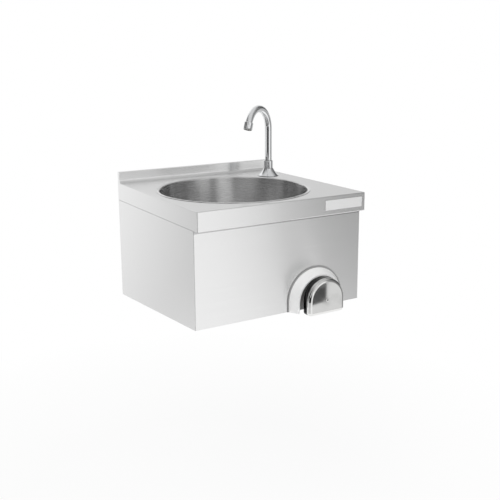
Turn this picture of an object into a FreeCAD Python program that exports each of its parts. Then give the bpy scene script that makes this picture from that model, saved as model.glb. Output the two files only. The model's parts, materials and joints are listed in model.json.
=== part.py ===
import FreeCAD, Part
import math
import os

# A wall-hung hand wash sink of stainless steel sheet, worked by the knee.
# Millimetres. X runs along the front from left to right, Y points to the wall, Z points up.
# The origin is at the middle of the two wall screws, on the face of the wall.

# ---- Driving dimensions ----

# Body
width = 400.0
depth = 400.0
height = 240.0  # worktop surface above the lower edge of the front panel
rail_below_top = 80.0  # wall screws below the worktop surface
worktop_sheet = 1.2
edge_bend = 2.0  # outside radius of the worktop's folded edges
rim_height = 40.0
upstand_height = 25.0
upstand_depth = 10.0
upstand_return = 12.0
cove_radius = 8.0
upstand_edge_radius = 1.0
front_recess = 17.0  # front panel behind the apron's face
casing_sheet = 1.0
casing_bend = 1.5
casing_return = 12.0
rear_return = 15.0
side_drop = 28.0  # the side panels reach this much lower at the wall
lap_gap = 0.4  # open line between rim and side panel
joggle_clearance = 0.2
tab_length = 50.0
tab_inset = 10.0

# Bowl
bowl_from_left = 183.0
bowl_from_front = 184.0
bowl_radius = 161.0  # inside, at the lip
bowl_depth = 150.0
bowl_wall = 1.0
bowl_draft = 9.0  # the wall leans in by this much down to the floor
bowl_floor_fall = 4.0
bowl_corner_radius = 40.0
lip_roll = 3.0
lip_seat_width = 4.2
lip_edge_radius = 0.6
bowl_hole_clearance = 0.3

# Nameplate
nameplate_width = 95.0
nameplate_height = 21.0
nameplate_thickness = 0.8
nameplate_corner = 1.5
nameplate_from_right = 9.0
nameplate_below_top = 8.5

# Wall rail and crossbar
rail_width = 300.0
rail_sheet = 2.0
rail_half_height = 20.0
rail_lip_offset = 10.0  # front face of the lip from the wall
rail_lip_height = 12.0
wall_hole_spacing = 250.0
wall_hole_radius = 3.5
crossbar_sheet = 1.5
crossbar_gap = 1.5  # crossbar in front of the rail's lip
crossbar_below = 25.0  # crossbar's lower edge below the wall screws
crossbar_flange = 12.0
hook_gap = 2.0  # hook behind the rail's lip
hook_length = 9.0
lower_hole_radius = 3.0
lower_hole_above_base = 15.0

# Waste
drain_recess_radius = 36.0
drain_recess_depth = 5.0
drain_hole_radius = 27.0
strainer_flange_radius = 34.0
strainer_sheet = 1.5
strainer_spigot_radius = 25.0
strainer_spigot_length = 12.0
strainer_hole_radius = 2.5
strainer_ring_radii = (11.0, 18.5)
strainer_ring_counts = (8, 14)
waste_top_gasket_thickness = 1.5
waste_bottom_gasket_thickness = 3.0
gasket_clearance = 0.5
waste_cup_radius = 32.0
waste_cup_wall = 3.0
waste_cup_depth = 36.0
waste_flange_radius = 36.0
waste_flange_thickness = 4.0
waste_outlet_radius = 20.95
waste_outlet_bore = 17.0
waste_outlet_length = 22.0
spider_thickness = 5.0
spider_arm_width = 5.0
spider_boss_radius = 6.5
waste_screw_radius = 3.0
waste_screw_head_radius = 6.0
waste_screw_head_height = 2.0
waste_screw_slot = 1.5
thread_clearance = 0.05

# Tap
tap_bowl_gap = 11.32  # worktop between the bowl's lip and the flared base
tap_off_corner = 8.84  # degrees off the line from the bowl's middle to the rear right corner
flare_radius = 24.5
flare_height = 18.0
flare_lip = 1.5
flare_neck_radius = 11.5
flare_sag = 0.9  # how far the flare's side curves in from a straight cone
neck_radius = 9.6
neck_height = 8.0  # threaded neck above the flare
shank_radius = 10.0
shank_length = 50.0
shank_hole_clearance = 0.5
water_bore = 5.0
collar_radius = 11.0
collar_height = 18.0
collar_lip = 2.0
collar_chamfer = 0.6
collar_line = 0.3  # open line between flare and collar
collar_bore_clearance = 0.2
tube_radius = 8.25
tube_bore = 6.8
swivel_clearance = 0.05
foot_depth = 12.0  # the spout's foot below the worktop surface
foot_joint = 14.0  # the spout tube starts this much above the worktop surface
foot_spigot = 8.0
seal_section = 0.65
seal_groove_depth = 1.35
seal_heights = (-6.0, 4.0)
clip_depth = 0.25
clip_thickness = 1.2
clip_reach = 1.05
clip_play = 0.2
spring_height = 113.5  # the arc starts this much above the worktop surface
arc_radius = 49.5
arc_angle = 157.0
spout_heading = 210.0  # degrees from +X, seen from above
spout_end_length = 3.0
nozzle_radius = 10.5
nozzle_length = 17.0
nozzle_socket = 5.0
nozzle_chamfer = 1.2
insert_radius = 9.0
insert_recess = 1.0
insert_floor = 2.4
insert_cup_radius = 6.8
insert_hole_radius = 0.8
insert_ring_radii = (2.6, 5.2)
insert_ring_counts = (6, 12)
aerator_washer_thickness = 1.5
aerator_washer_bore = 5.5
deck_gasket_thickness = 1.8
deck_gasket_outer = 22.0
deck_gasket_inner = 13.0
shank_washer_radius = 22.0
shank_washer_thickness = 3.0
shank_plate_thickness = 2.0
shank_nut_flats = 32.0
shank_nut_height = 8.0

# Supply tube
union_thread_radius = 8.33
union_thread_length = 12.0
union_nut_flats = 22.0
union_nut_lip = 2.5
union_nut_length = 15.0
supply_radius = 5.0
supply_bore = 4.0
supply_flare_radius = 7.0
supply_flare_thickness = 1.5
supply_seal_thickness = 1.5
supply_rise = 40.0
supply_drop = 38.0
supply_arc_share = 0.45
# Bends of the supply tube: share of the way to the wall, share of the climb, distance
# towards the bowl from the line midway between the bowl and the casing's side.
supply_bends = ((0.2, 0.15, 4.0), (0.5, 0.5, 0.0), (0.8, 0.75, 5.0))

# Knee control
knee_from_left = 284.0
knee_height = 28.0  # stem axis above the front panel's lower edge
pad_half_width = 45.0
pad_front = 29.0  # pad's face in front of the apron
pad_depth = 21.0
pad_below_base = 3.0
pad_wall = 1.5
pad_edge_radius = 7.0
pad_corner_radius = 8.0
pad_boss_radius = 8.0
pad_boss_length = 13.5
pad_web = 3.5
knee_travel = 8.0
shroud_base_half = 66.0
shroud_front_half = 56.0
shroud_opening_half = 52.5
shroud_front = 5.0  # shroud's rim in front of the apron
shroud_arch_height = 21.0
shroud_sheet = 1.5
shroud_rim_radius = 1.2
shroud_flange = 9.0
shroud_gasket_thickness = 2.0
shroud_gasket_margin = 3.0
shroud_screw_inset = 5.0
shroud_screw_angles = (20.0, 90.0, 160.0)
shroud_screw_radius = 2.0
shroud_screw_head_radius = 3.8
shroud_screw_head_height = 2.4
shroud_screw_slot = 1.0
screw_hole_clearance = 0.3
pad_screw_radius = 2.5
pad_screw_length = 14.0
pad_screw_head_radius = 4.2
pad_screw_head_height = 1.4
pad_screw_socket_flats = 3.0
pad_screw_socket_depth = 2.4

# Valve
barrel_radius = 18.0
panel_seal_thickness = 1.5
valve_neck_radius = 12.0
valve_neck_bore = 8.0
valve_neck_front = 9.0  # neck in front of the shroud gasket
panel_nut_flats = 30.0
panel_nut_thickness = 6.0
bonnet_flats = 22.0
bonnet_head = 5.0
bonnet_plug = 16.0
stem_radius = 4.0
stem_clearance = 0.05
stem_spigot_radius = 3.0
drill_run_out = 1.0  # tapped bores are this much deeper than their screws
stem_seal_section = 1.0
stem_seal_from_front = 7.0
front_chamber_radius = 9.0
front_wall = 6.5
front_chamber_length = 20.0
seat_wall = 4.0
seat_radius = 7.0
rear_chamber_radius = 13.0
cap_radius = 14.0
cap_depth = 8.0
cap_flats = 32.0
cap_head = 6.0
outlet_height = 32.0  # outlet's end above the stem axis
washer_radius = 10.5
washer_thickness = 2.5
seat_play = 0.1
disc_radius = 11.0
disc_thickness = 2.4
plunger_screw_radius = 2.0
plunger_screw_length = 10.0
plunger_screw_flats = 6.0
plunger_screw_head_height = 2.0
spring_radius = 7.5
spring_wire = 0.7
spring_turns = 5.0
spring_spare = 2.6  # spring length left over when the pad is fully pushed in
inlet_spacing = 76.0
arm_radius = 9.0
elbow_radius = 12.0
elbow_front = 12.0
elbow_rear = 16.0
nipple_spigot_radius = 8.0
nipple_spigot_length = 13.0
nipple_flats = 26.0
nipple_hex = 6.0
nipple_thread_radius = 10.48
nipple_thread_length = 15.0
nipple_bore = 6.5
check_valve_length = 12.0
check_valve_bore = 3.5
poppet_clearance = 0.5
poppet_tip_radius = 1.0
poppet_length = 6.0
poppet_bar = 1.5
filter_thickness = 2.5
filter_recess = 1.0
filter_hole_radius = 0.8
filter_ring_radius = 3.8
filter_ring_count = 6

# ---- Places worked out from them ----

left = -width / 2
right = width / 2
front = -depth
z_top = rail_below_top
z_base = z_top - height
z_rim = z_top - rim_height
z_under = z_top - worktop_sheet
panel_front = front + front_recess
panel_back = panel_front + casing_sheet

bowl_x = left + bowl_from_left
bowl_y = front + bowl_from_front
bowl_lip_radius = bowl_radius + lip_roll + lip_seat_width
bowl_hole_radius = bowl_radius + lip_roll + bowl_hole_clearance
z_floor = z_top - bowl_depth
z_drain = z_floor - bowl_floor_fall - drain_recess_depth

tap_bearing = math.atan2(-bowl_y, right - bowl_x) - math.radians(tap_off_corner)
tap_distance = bowl_lip_radius + tap_bowl_gap + flare_radius
tap_x = bowl_x + tap_distance * math.cos(tap_bearing)
tap_y = bowl_y + tap_distance * math.sin(tap_bearing)
z_collar = z_top + flare_height + collar_line
z_neck = z_top + flare_height + neck_height

knee_x = left + knee_from_left
z_knee = z_base + knee_height
z_shroud = z_base + shroud_arch_height
pad_y = front - pad_front
gasket_y = panel_front - shroud_gasket_thickness
neck_y = gasket_y - valve_neck_front
barrel_y = panel_back + panel_seal_thickness
chamber_y = barrel_y + front_wall
seat_y = chamber_y + front_chamber_length
rear_y = seat_y + seat_wall
disc_y = rear_y + seat_play + washer_thickness
spring_y = disc_y + disc_thickness
spring_length = 2 * spring_wire * (spring_turns + 1) + knee_travel + spring_spare
cap_y = spring_y + spring_length
valve_end_y = cap_y + cap_depth
outlet_y = chamber_y + front_chamber_length / 2
inlet_y = (rear_y + cap_y) / 2
nipple_y = inlet_y + elbow_rear
stem_front_y = pad_y + pad_wall + pad_web

X = FreeCAD.Vector(1, 0, 0)
Y = FreeCAD.Vector(0, 1, 0)
Z = FreeCAD.Vector(0, 0, 1)


# ---- Shapes that several pieces share ----

tolerance = 0.001  # lengths closer than this count as the same

def at(x, y, z):
    return FreeCAD.Vector(x, y, z)


def block(x0, x1, y0, y1, z0, z1):
    return Part.makeBox(x1 - x0, y1 - y0, z1 - z0, at(x0, y0, z0))


def rod(radius, start, end):
    axis = end - start
    return Part.makeCylinder(radius, axis.Length, start, axis)


def ring(outer, inner, start, end):
    return rod(outer, start, end).cut(rod(inner, start, end))


def side_of(axis):
    """A unit vector square to the axis."""
    other = X if abs(axis.dot(X)) < 0.7 else Y
    side = axis.cross(other)
    side.normalize()
    return side


def hexagon(flats, start, end):
    """A six-sided prism with the given size across its flats."""
    axis = end - start
    corner = side_of(axis).multiply(flats / math.sqrt(3))
    points = []
    for turn in range(6):
        spin = FreeCAD.Rotation(axis, 60 * turn)
        points.append(start + spin.multVec(corner))
    face = Part.Face(Part.makePolygon(points + points[:1]))
    return face.extrude(axis)


def hex_nut(flats, bore, start, end):
    return hexagon(flats, start, end).cut(rod(bore, start, end))


def turned(profile, foot, axis):
    """Turn a closed outline about the axis.

    An item of the outline is a point (radius, distance along the axis), or a pair of
    points: the middle and the end of an arc.
    """
    side = side_of(axis)
    edges = []
    start = foot + side * profile[0][0] + axis * profile[0][1]
    for item in profile[1:] + profile[:1]:
        points = item if isinstance(item[0], tuple) else (item,)
        placed = [foot + side * radius + axis * along for radius, along in points]
        if len(placed) == 2:
            edges.append(Part.Arc(start, placed[0], placed[1]).toShape())
        else:
            edges.append(Part.makeLine(start, placed[0]))
        start = placed[-1]
    return Part.Face(Part.Wire(edges)).revolve(foot, axis, 360)


def fuse(first, *others):
    return first.multiFuse(list(others)).removeSplitter()


def edges_where(shape, test):
    """The edges whose end points and middle all pass the test."""
    found = []
    for edge in shape.Edges:
        points = [vertex.Point for vertex in edge.Vertexes]
        points.append(edge.valueAt((edge.FirstParameter + edge.LastParameter) / 2))
        if all(test(point) for point in points):
            found.append(edge)
    return found


def circle_edges(shape, radius, z):
    """Round edges of one radius at one height."""
    found = []
    for edge in shape.Edges:
        curve = edge.Curve
        if isinstance(curve, Part.Circle):
            if near(curve.Radius, radius) and near(curve.Center.z, z):
                found.append(edge)
    return found


def near(first, second):
    return abs(first - second) < tolerance


def arch_wire(half, z_centre, z_bottom, y):
    """An arch in the plane of the front: a half circle on two straight legs, flat below."""
    low_left = at(knee_x - half, y, z_bottom)
    low_right = at(knee_x + half, y, z_bottom)
    high_left = at(knee_x - half, y, z_centre)
    high_right = at(knee_x + half, y, z_centre)
    crown = at(knee_x, y, z_centre + half)
    edges = [
        Part.makeLine(low_left, high_left),
        Part.Arc(high_left, crown, high_right).toShape(),
        Part.makeLine(high_right, low_right),
        Part.makeLine(low_right, low_left),
    ]
    return Part.Wire(edges)


def arch_block(half, z_centre, z_bottom, y0, y1):
    face = Part.Face(arch_wire(half, z_centre, z_bottom, y0))
    return face.extrude(Y * (y1 - y0))


def arch_loft(half0, half1, z_centre, z_bottom, y0, y1):
    wires = [arch_wire(half0, z_centre, z_bottom, y0), arch_wire(half1, z_centre, z_bottom, y1)]
    return Part.makeLoft(wires, True, True)


def hole_ring(radius, hole_radius, count, centre, depth):
    """Upright or lying drill holes on a circle, square to the depth vector."""
    holes = []
    spoke = side_of(depth).multiply(radius)
    for number in range(count):
        spin = FreeCAD.Rotation(depth, 360.0 * number / count)
        place = centre + spin.multVec(spoke)
        holes.append(rod(hole_radius, place, place + depth))
    return holes


def torus(middle_radius, section, centre, axis):
    return Part.makeTorus(middle_radius, section, centre, axis)


def rounded_route(points, share):
    """Straight runs joined by tangent arcs. Gives the wire and the radius of each arc."""
    edges = []
    radii = []
    start = points[0]
    for before, corner, after in zip(points, points[1:], points[2:]):
        toward = (before - corner).normalize()
        away = (after - corner).normalize()
        half_turn = (math.pi - toward.getAngle(away)) / 2
        trim = share * min((before - corner).Length, (after - corner).Length)
        radius = trim / math.tan(half_turn)
        entry = corner + toward * trim
        leave = corner + away * trim
        inward = (toward + away).normalize()
        middle = corner + inward * (radius / math.cos(half_turn) - radius)
        edges.append(Part.makeLine(start, entry))
        edges.append(Part.Arc(entry, middle, leave).toShape())
        radii.append(radius)
        start = leave
    edges.append(Part.makeLine(start, points[-1]))
    return Part.Wire(edges), radii


def swept(route, radius):
    start = route.Edges[0].Vertexes[0].Point
    along = route.Edges[0].tangentAt(route.Edges[0].FirstParameter)
    circle = Part.Wire(Part.makeCircle(radius, start, along))
    return route.makePipeShell([circle], True, False)


# ---- Body of the basin ----

def upstand_sheet():
    """The cove, the low wall behind the worktop and its return, folded from one sheet."""
    s = worktop_sheet
    face_y = -upstand_depth
    cove_y = face_y - cove_radius
    z_cove = z_top + cove_radius
    z_lip = z_top + upstand_height
    diagonal = math.sqrt(0.5)
    outer_mid = at(left, cove_y + cove_radius * diagonal, z_cove - cove_radius * diagonal)
    inner_bend = cove_radius + s
    inner_mid = at(left, cove_y + inner_bend * diagonal, z_cove - inner_bend * diagonal)
    edges = [
        Part.Arc(at(left, cove_y, z_top), outer_mid, at(left, face_y, z_cove)).toShape(),
        Part.makeLine(at(left, face_y, z_cove), at(left, face_y, z_lip)),
        Part.makeLine(at(left, face_y, z_lip), at(left, 0, z_lip)),
        Part.makeLine(at(left, 0, z_lip), at(left, 0, z_lip - upstand_return)),
        Part.makeLine(at(left, 0, z_lip - upstand_return), at(left, -s, z_lip - upstand_return)),
        Part.makeLine(at(left, -s, z_lip - upstand_return), at(left, -s, z_lip - s)),
        Part.makeLine(at(left, -s, z_lip - s), at(left, face_y + s, z_lip - s)),
        Part.makeLine(at(left, face_y + s, z_lip - s), at(left, face_y + s, z_cove)),
        Part.Arc(at(left, face_y + s, z_cove), inner_mid, at(left, cove_y, z_under)).toShape(),
        Part.makeLine(at(left, cove_y, z_under), at(left, cove_y, z_top)),
    ]
    sheet = Part.Face(Part.Wire(edges)).extrude(X * width)
    top_front = edges_where(sheet, lambda p: near(p.y, face_y) and near(p.z, z_lip))
    return sheet.makeFillet(upstand_edge_radius, top_front)


def upstand_end(x0, x1):
    """The plate that closes one end of the upstand, flush with the rim below it."""
    face_y = -upstand_depth
    cove_y = face_y - cove_radius
    z_cove = z_top + cove_radius
    z_low = z_top - 2 * edge_bend
    z_lip = z_top + upstand_height - worktop_sheet / 2
    diagonal = math.sqrt(0.5)
    middle = at(x0, cove_y + cove_radius * diagonal, z_cove - cove_radius * diagonal)
    edges = [
        Part.makeLine(at(x0, cove_y, z_low), at(x0, cove_y, z_top)),
        Part.Arc(at(x0, cove_y, z_top), middle, at(x0, face_y, z_cove)).toShape(),
        Part.makeLine(at(x0, face_y, z_cove), at(x0, face_y, z_lip)),
        Part.makeLine(at(x0, face_y, z_lip), at(x0, 0, z_lip)),
        Part.makeLine(at(x0, 0, z_lip), at(x0, 0, z_low)),
        Part.makeLine(at(x0, 0, z_low), at(x0, cove_y, z_low)),
    ]
    return Part.Face(Part.Wire(edges)).extrude(X * (x1 - x0))


def folded_tray():
    """Top, apron and side rims as one folded sheet, open below and at the wall."""
    s = worktop_sheet
    outer = block(left, right, front, 0, z_rim, z_top)
    folds = edges_where(outer, lambda p: near(p.z, z_top) and p.y < -s)
    folds += edges_where(outer, lambda p: near(p.z, z_top) and near(abs(p.x), right))
    folds += edges_where(outer, lambda p: near(p.y, front) and near(abs(p.x), right))
    folds += edges_where(outer, lambda p: near(p.y, front) and near(p.z, z_rim))
    unique = {edge.hashCode(): edge for edge in folds}
    outer = outer.makeFillet(edge_bend, list(unique.values()))
    inner = block(left + s, right - s, front + s, s, z_rim + s, z_under)
    corner = edges_where(inner, lambda p: near(p.y, front + s))
    inner = inner.makeFillet(edge_bend - s, corner)
    below = block(left + s, right - s, panel_front, s, z_rim - s, z_rim + 2 * s)
    return outer.cut(inner).cut(below)


def worktop():
    s = worktop_sheet
    behind = block(left + s, right - s, -upstand_depth - cove_radius, s, z_rim, z_top + s)
    tray = folded_tray().cut(behind)
    ends = [upstand_end(left, left + s), upstand_end(right - s, right)]
    sheet = fuse(tray, upstand_sheet(), *ends)
    bowl_centre = at(bowl_x, bowl_y, z_rim)
    tap_centre = at(tap_x, tap_y, z_rim)
    sheet = sheet.cut(rod(bowl_hole_radius, bowl_centre, bowl_centre + Z * height))
    return sheet.cut(rod(shank_radius + shank_hole_clearance, tap_centre, tap_centre + Z * height))


def bowl():
    """Pressed bowl: its rolled lip lies on the worktop and its floor falls to the drain."""
    w = bowl_wall
    z_lip = z_top + w
    corner = bowl_radius - bowl_draft
    z_inner = z_floor - bowl_floor_fall
    r_drain = drain_recess_radius
    profile = [
        (drain_hole_radius, z_drain),
        (r_drain, z_drain),
        (r_drain, z_inner),
        (corner, z_floor),
        (bowl_radius, z_lip),
        (bowl_lip_radius, z_lip),
        (bowl_lip_radius, z_top),
        (bowl_radius + w, z_top),
        (corner + w, z_floor - w),
        (r_drain + w, z_inner - w),
        (r_drain + w, z_drain - w),
        (drain_hole_radius, z_drain - w),
    ]
    shape = turned(profile, at(bowl_x, bowl_y, 0), Z)
    shape = shape.makeFillet(bowl_corner_radius, circle_edges(shape, corner, z_floor))
    shape = shape.makeFillet(bowl_corner_radius + w, circle_edges(shape, corner + w, z_floor - w))
    shape = shape.makeFillet(lip_roll, circle_edges(shape, bowl_radius, z_lip))
    shape = shape.makeFillet(lip_roll - w, circle_edges(shape, bowl_radius + w, z_top))
    return shape.makeFillet(lip_edge_radius, circle_edges(shape, bowl_lip_radius, z_lip))


def folded_shell(x_half, z0, z1):
    """Three upright walls folded from one sheet: left side, front and right side."""
    c = casing_sheet
    outer = block(-x_half, x_half, panel_front, 0, z0, z1)
    corners = edges_where(outer, lambda p: near(p.y, panel_front) and near(abs(p.x), x_half))
    outer = outer.makeFillet(casing_bend, corners)
    inner = block(c - x_half, x_half - c, panel_back, c, z0 - c, z1 + c)
    corners = edges_where(inner, lambda p: near(p.y, panel_back) and near(abs(p.x), x_half - c))
    return outer.cut(inner.makeFillet(casing_bend - c, corners))


def below_slope():
    """Everything below the sloping lower edges of the side panels."""
    slope = side_drop / -panel_front
    reach = casing_return
    points = [
        at(left - reach, panel_front - reach, z_base + slope * reach),
        at(left - reach, reach, z_base - side_drop - slope * reach),
        at(left - reach, reach, z_base - 2 * side_drop - reach),
        at(left - reach, panel_front - reach, z_base - 2 * side_drop - reach),
    ]
    face = Part.Face(Part.makePolygon(points + points[:1]))
    return face.extrude(X * (width + 2 * reach))


def sloping_return(x0, x1):
    """Inward fold along a side panel's lower edge."""
    slope = side_drop / -panel_front
    y0 = panel_back + casing_bend
    z0 = z_base - slope * (y0 - panel_front)
    points = [
        at(x0, y0, z0),
        at(x0, 0, z_base - side_drop),
        at(x0, 0, z_base - side_drop + casing_sheet),
        at(x0, y0, z0 + casing_sheet),
    ]
    return Part.Face(Part.makePolygon(points + points[:1])).extrude(X * (x1 - x0))


def shroud_screw_places(y):
    radius = shroud_base_half - shroud_screw_inset
    places = []
    for angle in shroud_screw_angles:
        across = radius * math.cos(math.radians(angle))
        up = radius * math.sin(math.radians(angle))
        places.append(at(knee_x + across, y, z_shroud + up))
    return places


def lower_hole_places():
    across = width / 2 - casing_sheet - (rear_return - casing_sheet) / 2
    return [at(side * across, 0, z_base + lower_hole_above_base) for side in (-1, 1)]


def casing():
    """Front panel and side panels with their folds and holes."""
    c = casing_sheet
    z_lap = z_rim - lap_gap
    upper_half = right - worktop_sheet - joggle_clearance
    lower = folded_shell(right, z_base - side_drop - c, z_lap).cut(below_slope())
    upper = folded_shell(upper_half, z_lap - c, z_under)
    pieces = [upper]
    for side in (-1, 1):
        edge = side * (right - c / 2)
        joint = side * (upper_half - c)
        step = sorted((edge, joint))
        fold_front = panel_front + 2 * casing_bend
        pieces.append(block(step[0], step[1], fold_front, 0, z_lap - c, z_lap))
        inward = sorted((edge, side * (right - casing_return)))
        pieces.append(sloping_return(inward[0], inward[1]))
        inward = sorted((edge, side * (right - rear_return)))
        pieces.append(block(inward[0], inward[1], -c, 0, z_base - side_drop, z_lap - c))
        tab = sorted((side * (right - tab_inset), side * (right - tab_inset - tab_length)))
        tab_back = panel_back + casing_return
        pieces.append(block(tab[0], tab[1], panel_back - c / 2, tab_back, z_under - c, z_under))
    fold_back = panel_back + casing_return
    pieces.append(block(left + c, right - c, panel_back - c / 2, fold_back, z_base, z_base + c))
    shape = fuse(lower, *pieces)
    neck = at(knee_x, panel_front - c, z_knee)
    holes = [rod(valve_neck_radius + screw_hole_clearance, neck, neck + Y * 3 * c)]
    for place in shroud_screw_places(panel_front - c):
        holes.append(rod(shroud_screw_radius + screw_hole_clearance, place, place + Y * 3 * c))
    for place in lower_hole_places():
        holes.append(rod(lower_hole_radius, place - Y * 2 * c, place + Y * c))
    for hole in holes:
        shape = shape.cut(hole)
    return shape


def nameplate():
    x1 = right - nameplate_from_right
    x0 = x1 - nameplate_width
    z1 = z_top - nameplate_below_top
    plate = block(x0, x1, front - nameplate_thickness, front, z1 - nameplate_height, z1)
    corners = edges_where(plate, lambda p: (near(p.x, x0) or near(p.x, x1))
                          and (near(p.z, z1) or near(p.z, z1 - nameplate_height)))
    return plate.makeFillet(nameplate_corner, corners)


def wall_rail():
    """Rail on the wall: its lip stands off the wall and points up."""
    half = rail_width / 2
    s = rail_sheet
    z_lip = rail_half_height + rail_lip_height
    shape = fuse(
        block(-half, half, -s, 0, -rail_half_height, rail_half_height),
        block(-half, half, -rail_lip_offset, 0, rail_half_height - s, rail_half_height),
        block(-half, half, -rail_lip_offset, s - rail_lip_offset, rail_half_height - s, z_lip),
    )
    for side in (-1, 1):
        hole = at(side * wall_hole_spacing / 2, -2 * s, 0)
        shape = shape.cut(rod(wall_hole_radius, hole, hole + Y * 3 * s))
    return shape


def rear_crossbar():
    """Cross member between the side panels: its hook goes over the rail's lip."""
    s = crossbar_sheet
    half = right - casing_sheet
    back = -rail_lip_offset - crossbar_gap
    hook = rail_sheet - rail_lip_offset + hook_gap
    z_rest = rail_half_height + rail_lip_height
    z_lip = z_rest + s
    return fuse(
        block(-half, half, back - s, back, -crossbar_below, z_lip),
        block(-half, half, back - s, hook + s, z_rest, z_lip),
        block(-half, half, hook, hook + s, z_lip - hook_length, z_lip),
        block(-half, half, back - crossbar_flange, back, -crossbar_below, s - crossbar_below),
    )


# ---- Waste ----

def drain_axis(z):
    return at(bowl_x, bowl_y, z)


z_strainer = z_drain + waste_top_gasket_thickness
z_waste = z_drain - bowl_wall - waste_bottom_gasket_thickness
z_cup = z_waste - waste_cup_depth
z_outlet = z_cup - waste_outlet_length


def waste_strainer():
    """Perforated dish with a spigot that reaches into the waste body."""
    z_plate = z_strainer + strainer_sheet
    plate = rod(strainer_flange_radius, drain_axis(z_strainer), drain_axis(z_plate))
    rim = circle_edges(plate, strainer_flange_radius, z_plate)
    plate = plate.makeFillet(strainer_sheet / 2, rim)
    z_spigot = z_strainer - strainer_spigot_length
    bore = strainer_spigot_radius - strainer_sheet
    spigot = ring(strainer_spigot_radius, bore, drain_axis(z_spigot), drain_axis(z_plate))
    shape = fuse(plate, spigot)
    through = Z * (2 * strainer_sheet)
    start = drain_axis(z_strainer - strainer_sheet / 2)
    holes = [rod(waste_screw_radius + thread_clearance, start, start + through)]
    for radius, count in zip(strainer_ring_radii, strainer_ring_counts):
        holes += hole_ring(radius, strainer_hole_radius, count, start, through)
    return shape.cut(Part.makeCompound(holes))


def waste_top_gasket():
    inner = drain_hole_radius + gasket_clearance
    return ring(strainer_flange_radius, inner, drain_axis(z_drain), drain_axis(z_strainer))


def waste_bottom_gasket():
    inner = drain_hole_radius + gasket_clearance
    return ring(waste_flange_radius, inner, drain_axis(z_waste), drain_axis(z_drain - bowl_wall))


def waste_body():
    """Cup under the bowl with a spider for the centre screw and the threaded outlet."""
    inside = waste_cup_radius - waste_cup_wall
    profile = [
        (inside, z_waste),
        (waste_flange_radius, z_waste),
        (waste_flange_radius, z_waste - waste_flange_thickness),
        (waste_cup_radius, z_waste - waste_flange_thickness),
        (waste_cup_radius, z_cup + waste_cup_wall),
        (waste_outlet_radius, z_cup - waste_cup_wall),
        (waste_outlet_radius, z_outlet),
        (waste_outlet_bore, z_outlet),
        (waste_outlet_bore, z_cup),
        (inside, z_cup + 2 * waste_cup_wall),
    ]
    shape = turned(profile, at(bowl_x, bowl_y, 0), Z)
    z_spider = z_cup + 2 * waste_cup_wall
    z_high = z_spider + spider_thickness
    half = spider_arm_width / 2
    reach = inside + waste_cup_wall / 2
    arms = [
        rod(spider_boss_radius, drain_axis(z_spider), drain_axis(z_high)),
        block(bowl_x - reach, bowl_x + reach, bowl_y - half, bowl_y + half, z_spider, z_high),
        block(bowl_x - half, bowl_x + half, bowl_y - reach, bowl_y + reach, z_spider, z_high),
    ]
    shape = fuse(shape, *arms)
    bore = waste_screw_radius + thread_clearance
    return shape.cut(rod(bore, drain_axis(z_spider - half), drain_axis(z_high + half)))


def waste_screw():
    """Centre screw with a low round head and one straight slot."""
    z_head = z_strainer + strainer_sheet
    z_end = z_cup + 2 * waste_cup_wall
    z_crown = z_head + waste_screw_head_height
    shaft = rod(waste_screw_radius, drain_axis(z_end), drain_axis(z_head + thread_clearance))
    head = rod(waste_screw_head_radius, drain_axis(z_head), drain_axis(z_crown))
    head = head.makeFillet(waste_screw_head_height / 2,
                           circle_edges(head, waste_screw_head_radius, z_crown))
    half = waste_screw_slot / 2
    reach = waste_screw_head_radius
    z_slot = z_crown - waste_screw_head_height / 2
    slot = block(bowl_x - reach, bowl_x + reach, bowl_y - half, bowl_y + half, z_slot, z_crown)
    return fuse(shaft, head).cut(slot)


# ---- Tap ----

def tap_axis(height_above):
    return at(tap_x, tap_y, z_top + height_above)


def tap_base():
    """Flared base with the neck for the collar above and the threaded shank below."""
    bore = tube_radius + swivel_clearance
    top = flare_height + neck_height
    flare_middle = (
        (flare_radius + flare_neck_radius) / 2 - flare_sag,
        (flare_lip + flare_height) / 2 - flare_sag,
    )
    profile = [
        (bore, -foot_depth),
        (bore, top),
        (neck_radius, top),
        (neck_radius, flare_height),
        (flare_neck_radius, flare_height),
        (flare_middle, (flare_radius, flare_lip)),
        (flare_radius, 0),
        (deck_gasket_outer, 0),
        (deck_gasket_outer, deck_gasket_thickness),
        (deck_gasket_inner, deck_gasket_thickness),
        (deck_gasket_inner, 0),
        (shank_radius, 0),
        (shank_radius, union_thread_length - shank_length),
        (union_thread_radius, union_thread_length - shank_length),
        (union_thread_radius, -shank_length),
        (water_bore, -shank_length),
        (water_bore, -foot_depth),
    ]
    return turned(profile, at(tap_x, tap_y, z_top), Z)


def deck_gasket():
    return ring(deck_gasket_outer, deck_gasket_inner, tap_axis(0), tap_axis(deck_gasket_thickness))


clip_foot = flare_height + neck_height + clip_play
clip_top = clip_foot + clip_thickness
bush_foot = clip_top + clip_play
collar_foot = flare_height + collar_line
collar_top = collar_foot + collar_height
bush_top = collar_top - collar_lip
bush_radius = neck_radius


def swivel_collar():
    over_neck = neck_radius + thread_clearance
    over_tube = tube_radius + collar_bore_clearance
    profile = [
        (over_neck, collar_foot),
        (collar_radius, collar_foot),
        (collar_radius, collar_top - collar_chamfer),
        (collar_radius - collar_chamfer, collar_top),
        (over_tube, collar_top),
        (over_tube, bush_top),
        (over_neck, bush_top),
    ]
    return turned(profile, at(tap_x, tap_y, z_top), Z)


def spout_bush():
    bore = tube_radius + swivel_clearance
    return ring(bush_radius, bore, tap_axis(bush_foot), tap_axis(bush_top))


def spout_clip():
    """Snap ring in the tube's groove: it keeps the spout from lifting."""
    inner = tube_radius - clip_depth
    outer = tube_radius + clip_reach
    return ring(outer, inner, tap_axis(clip_foot), tap_axis(clip_top))


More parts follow.
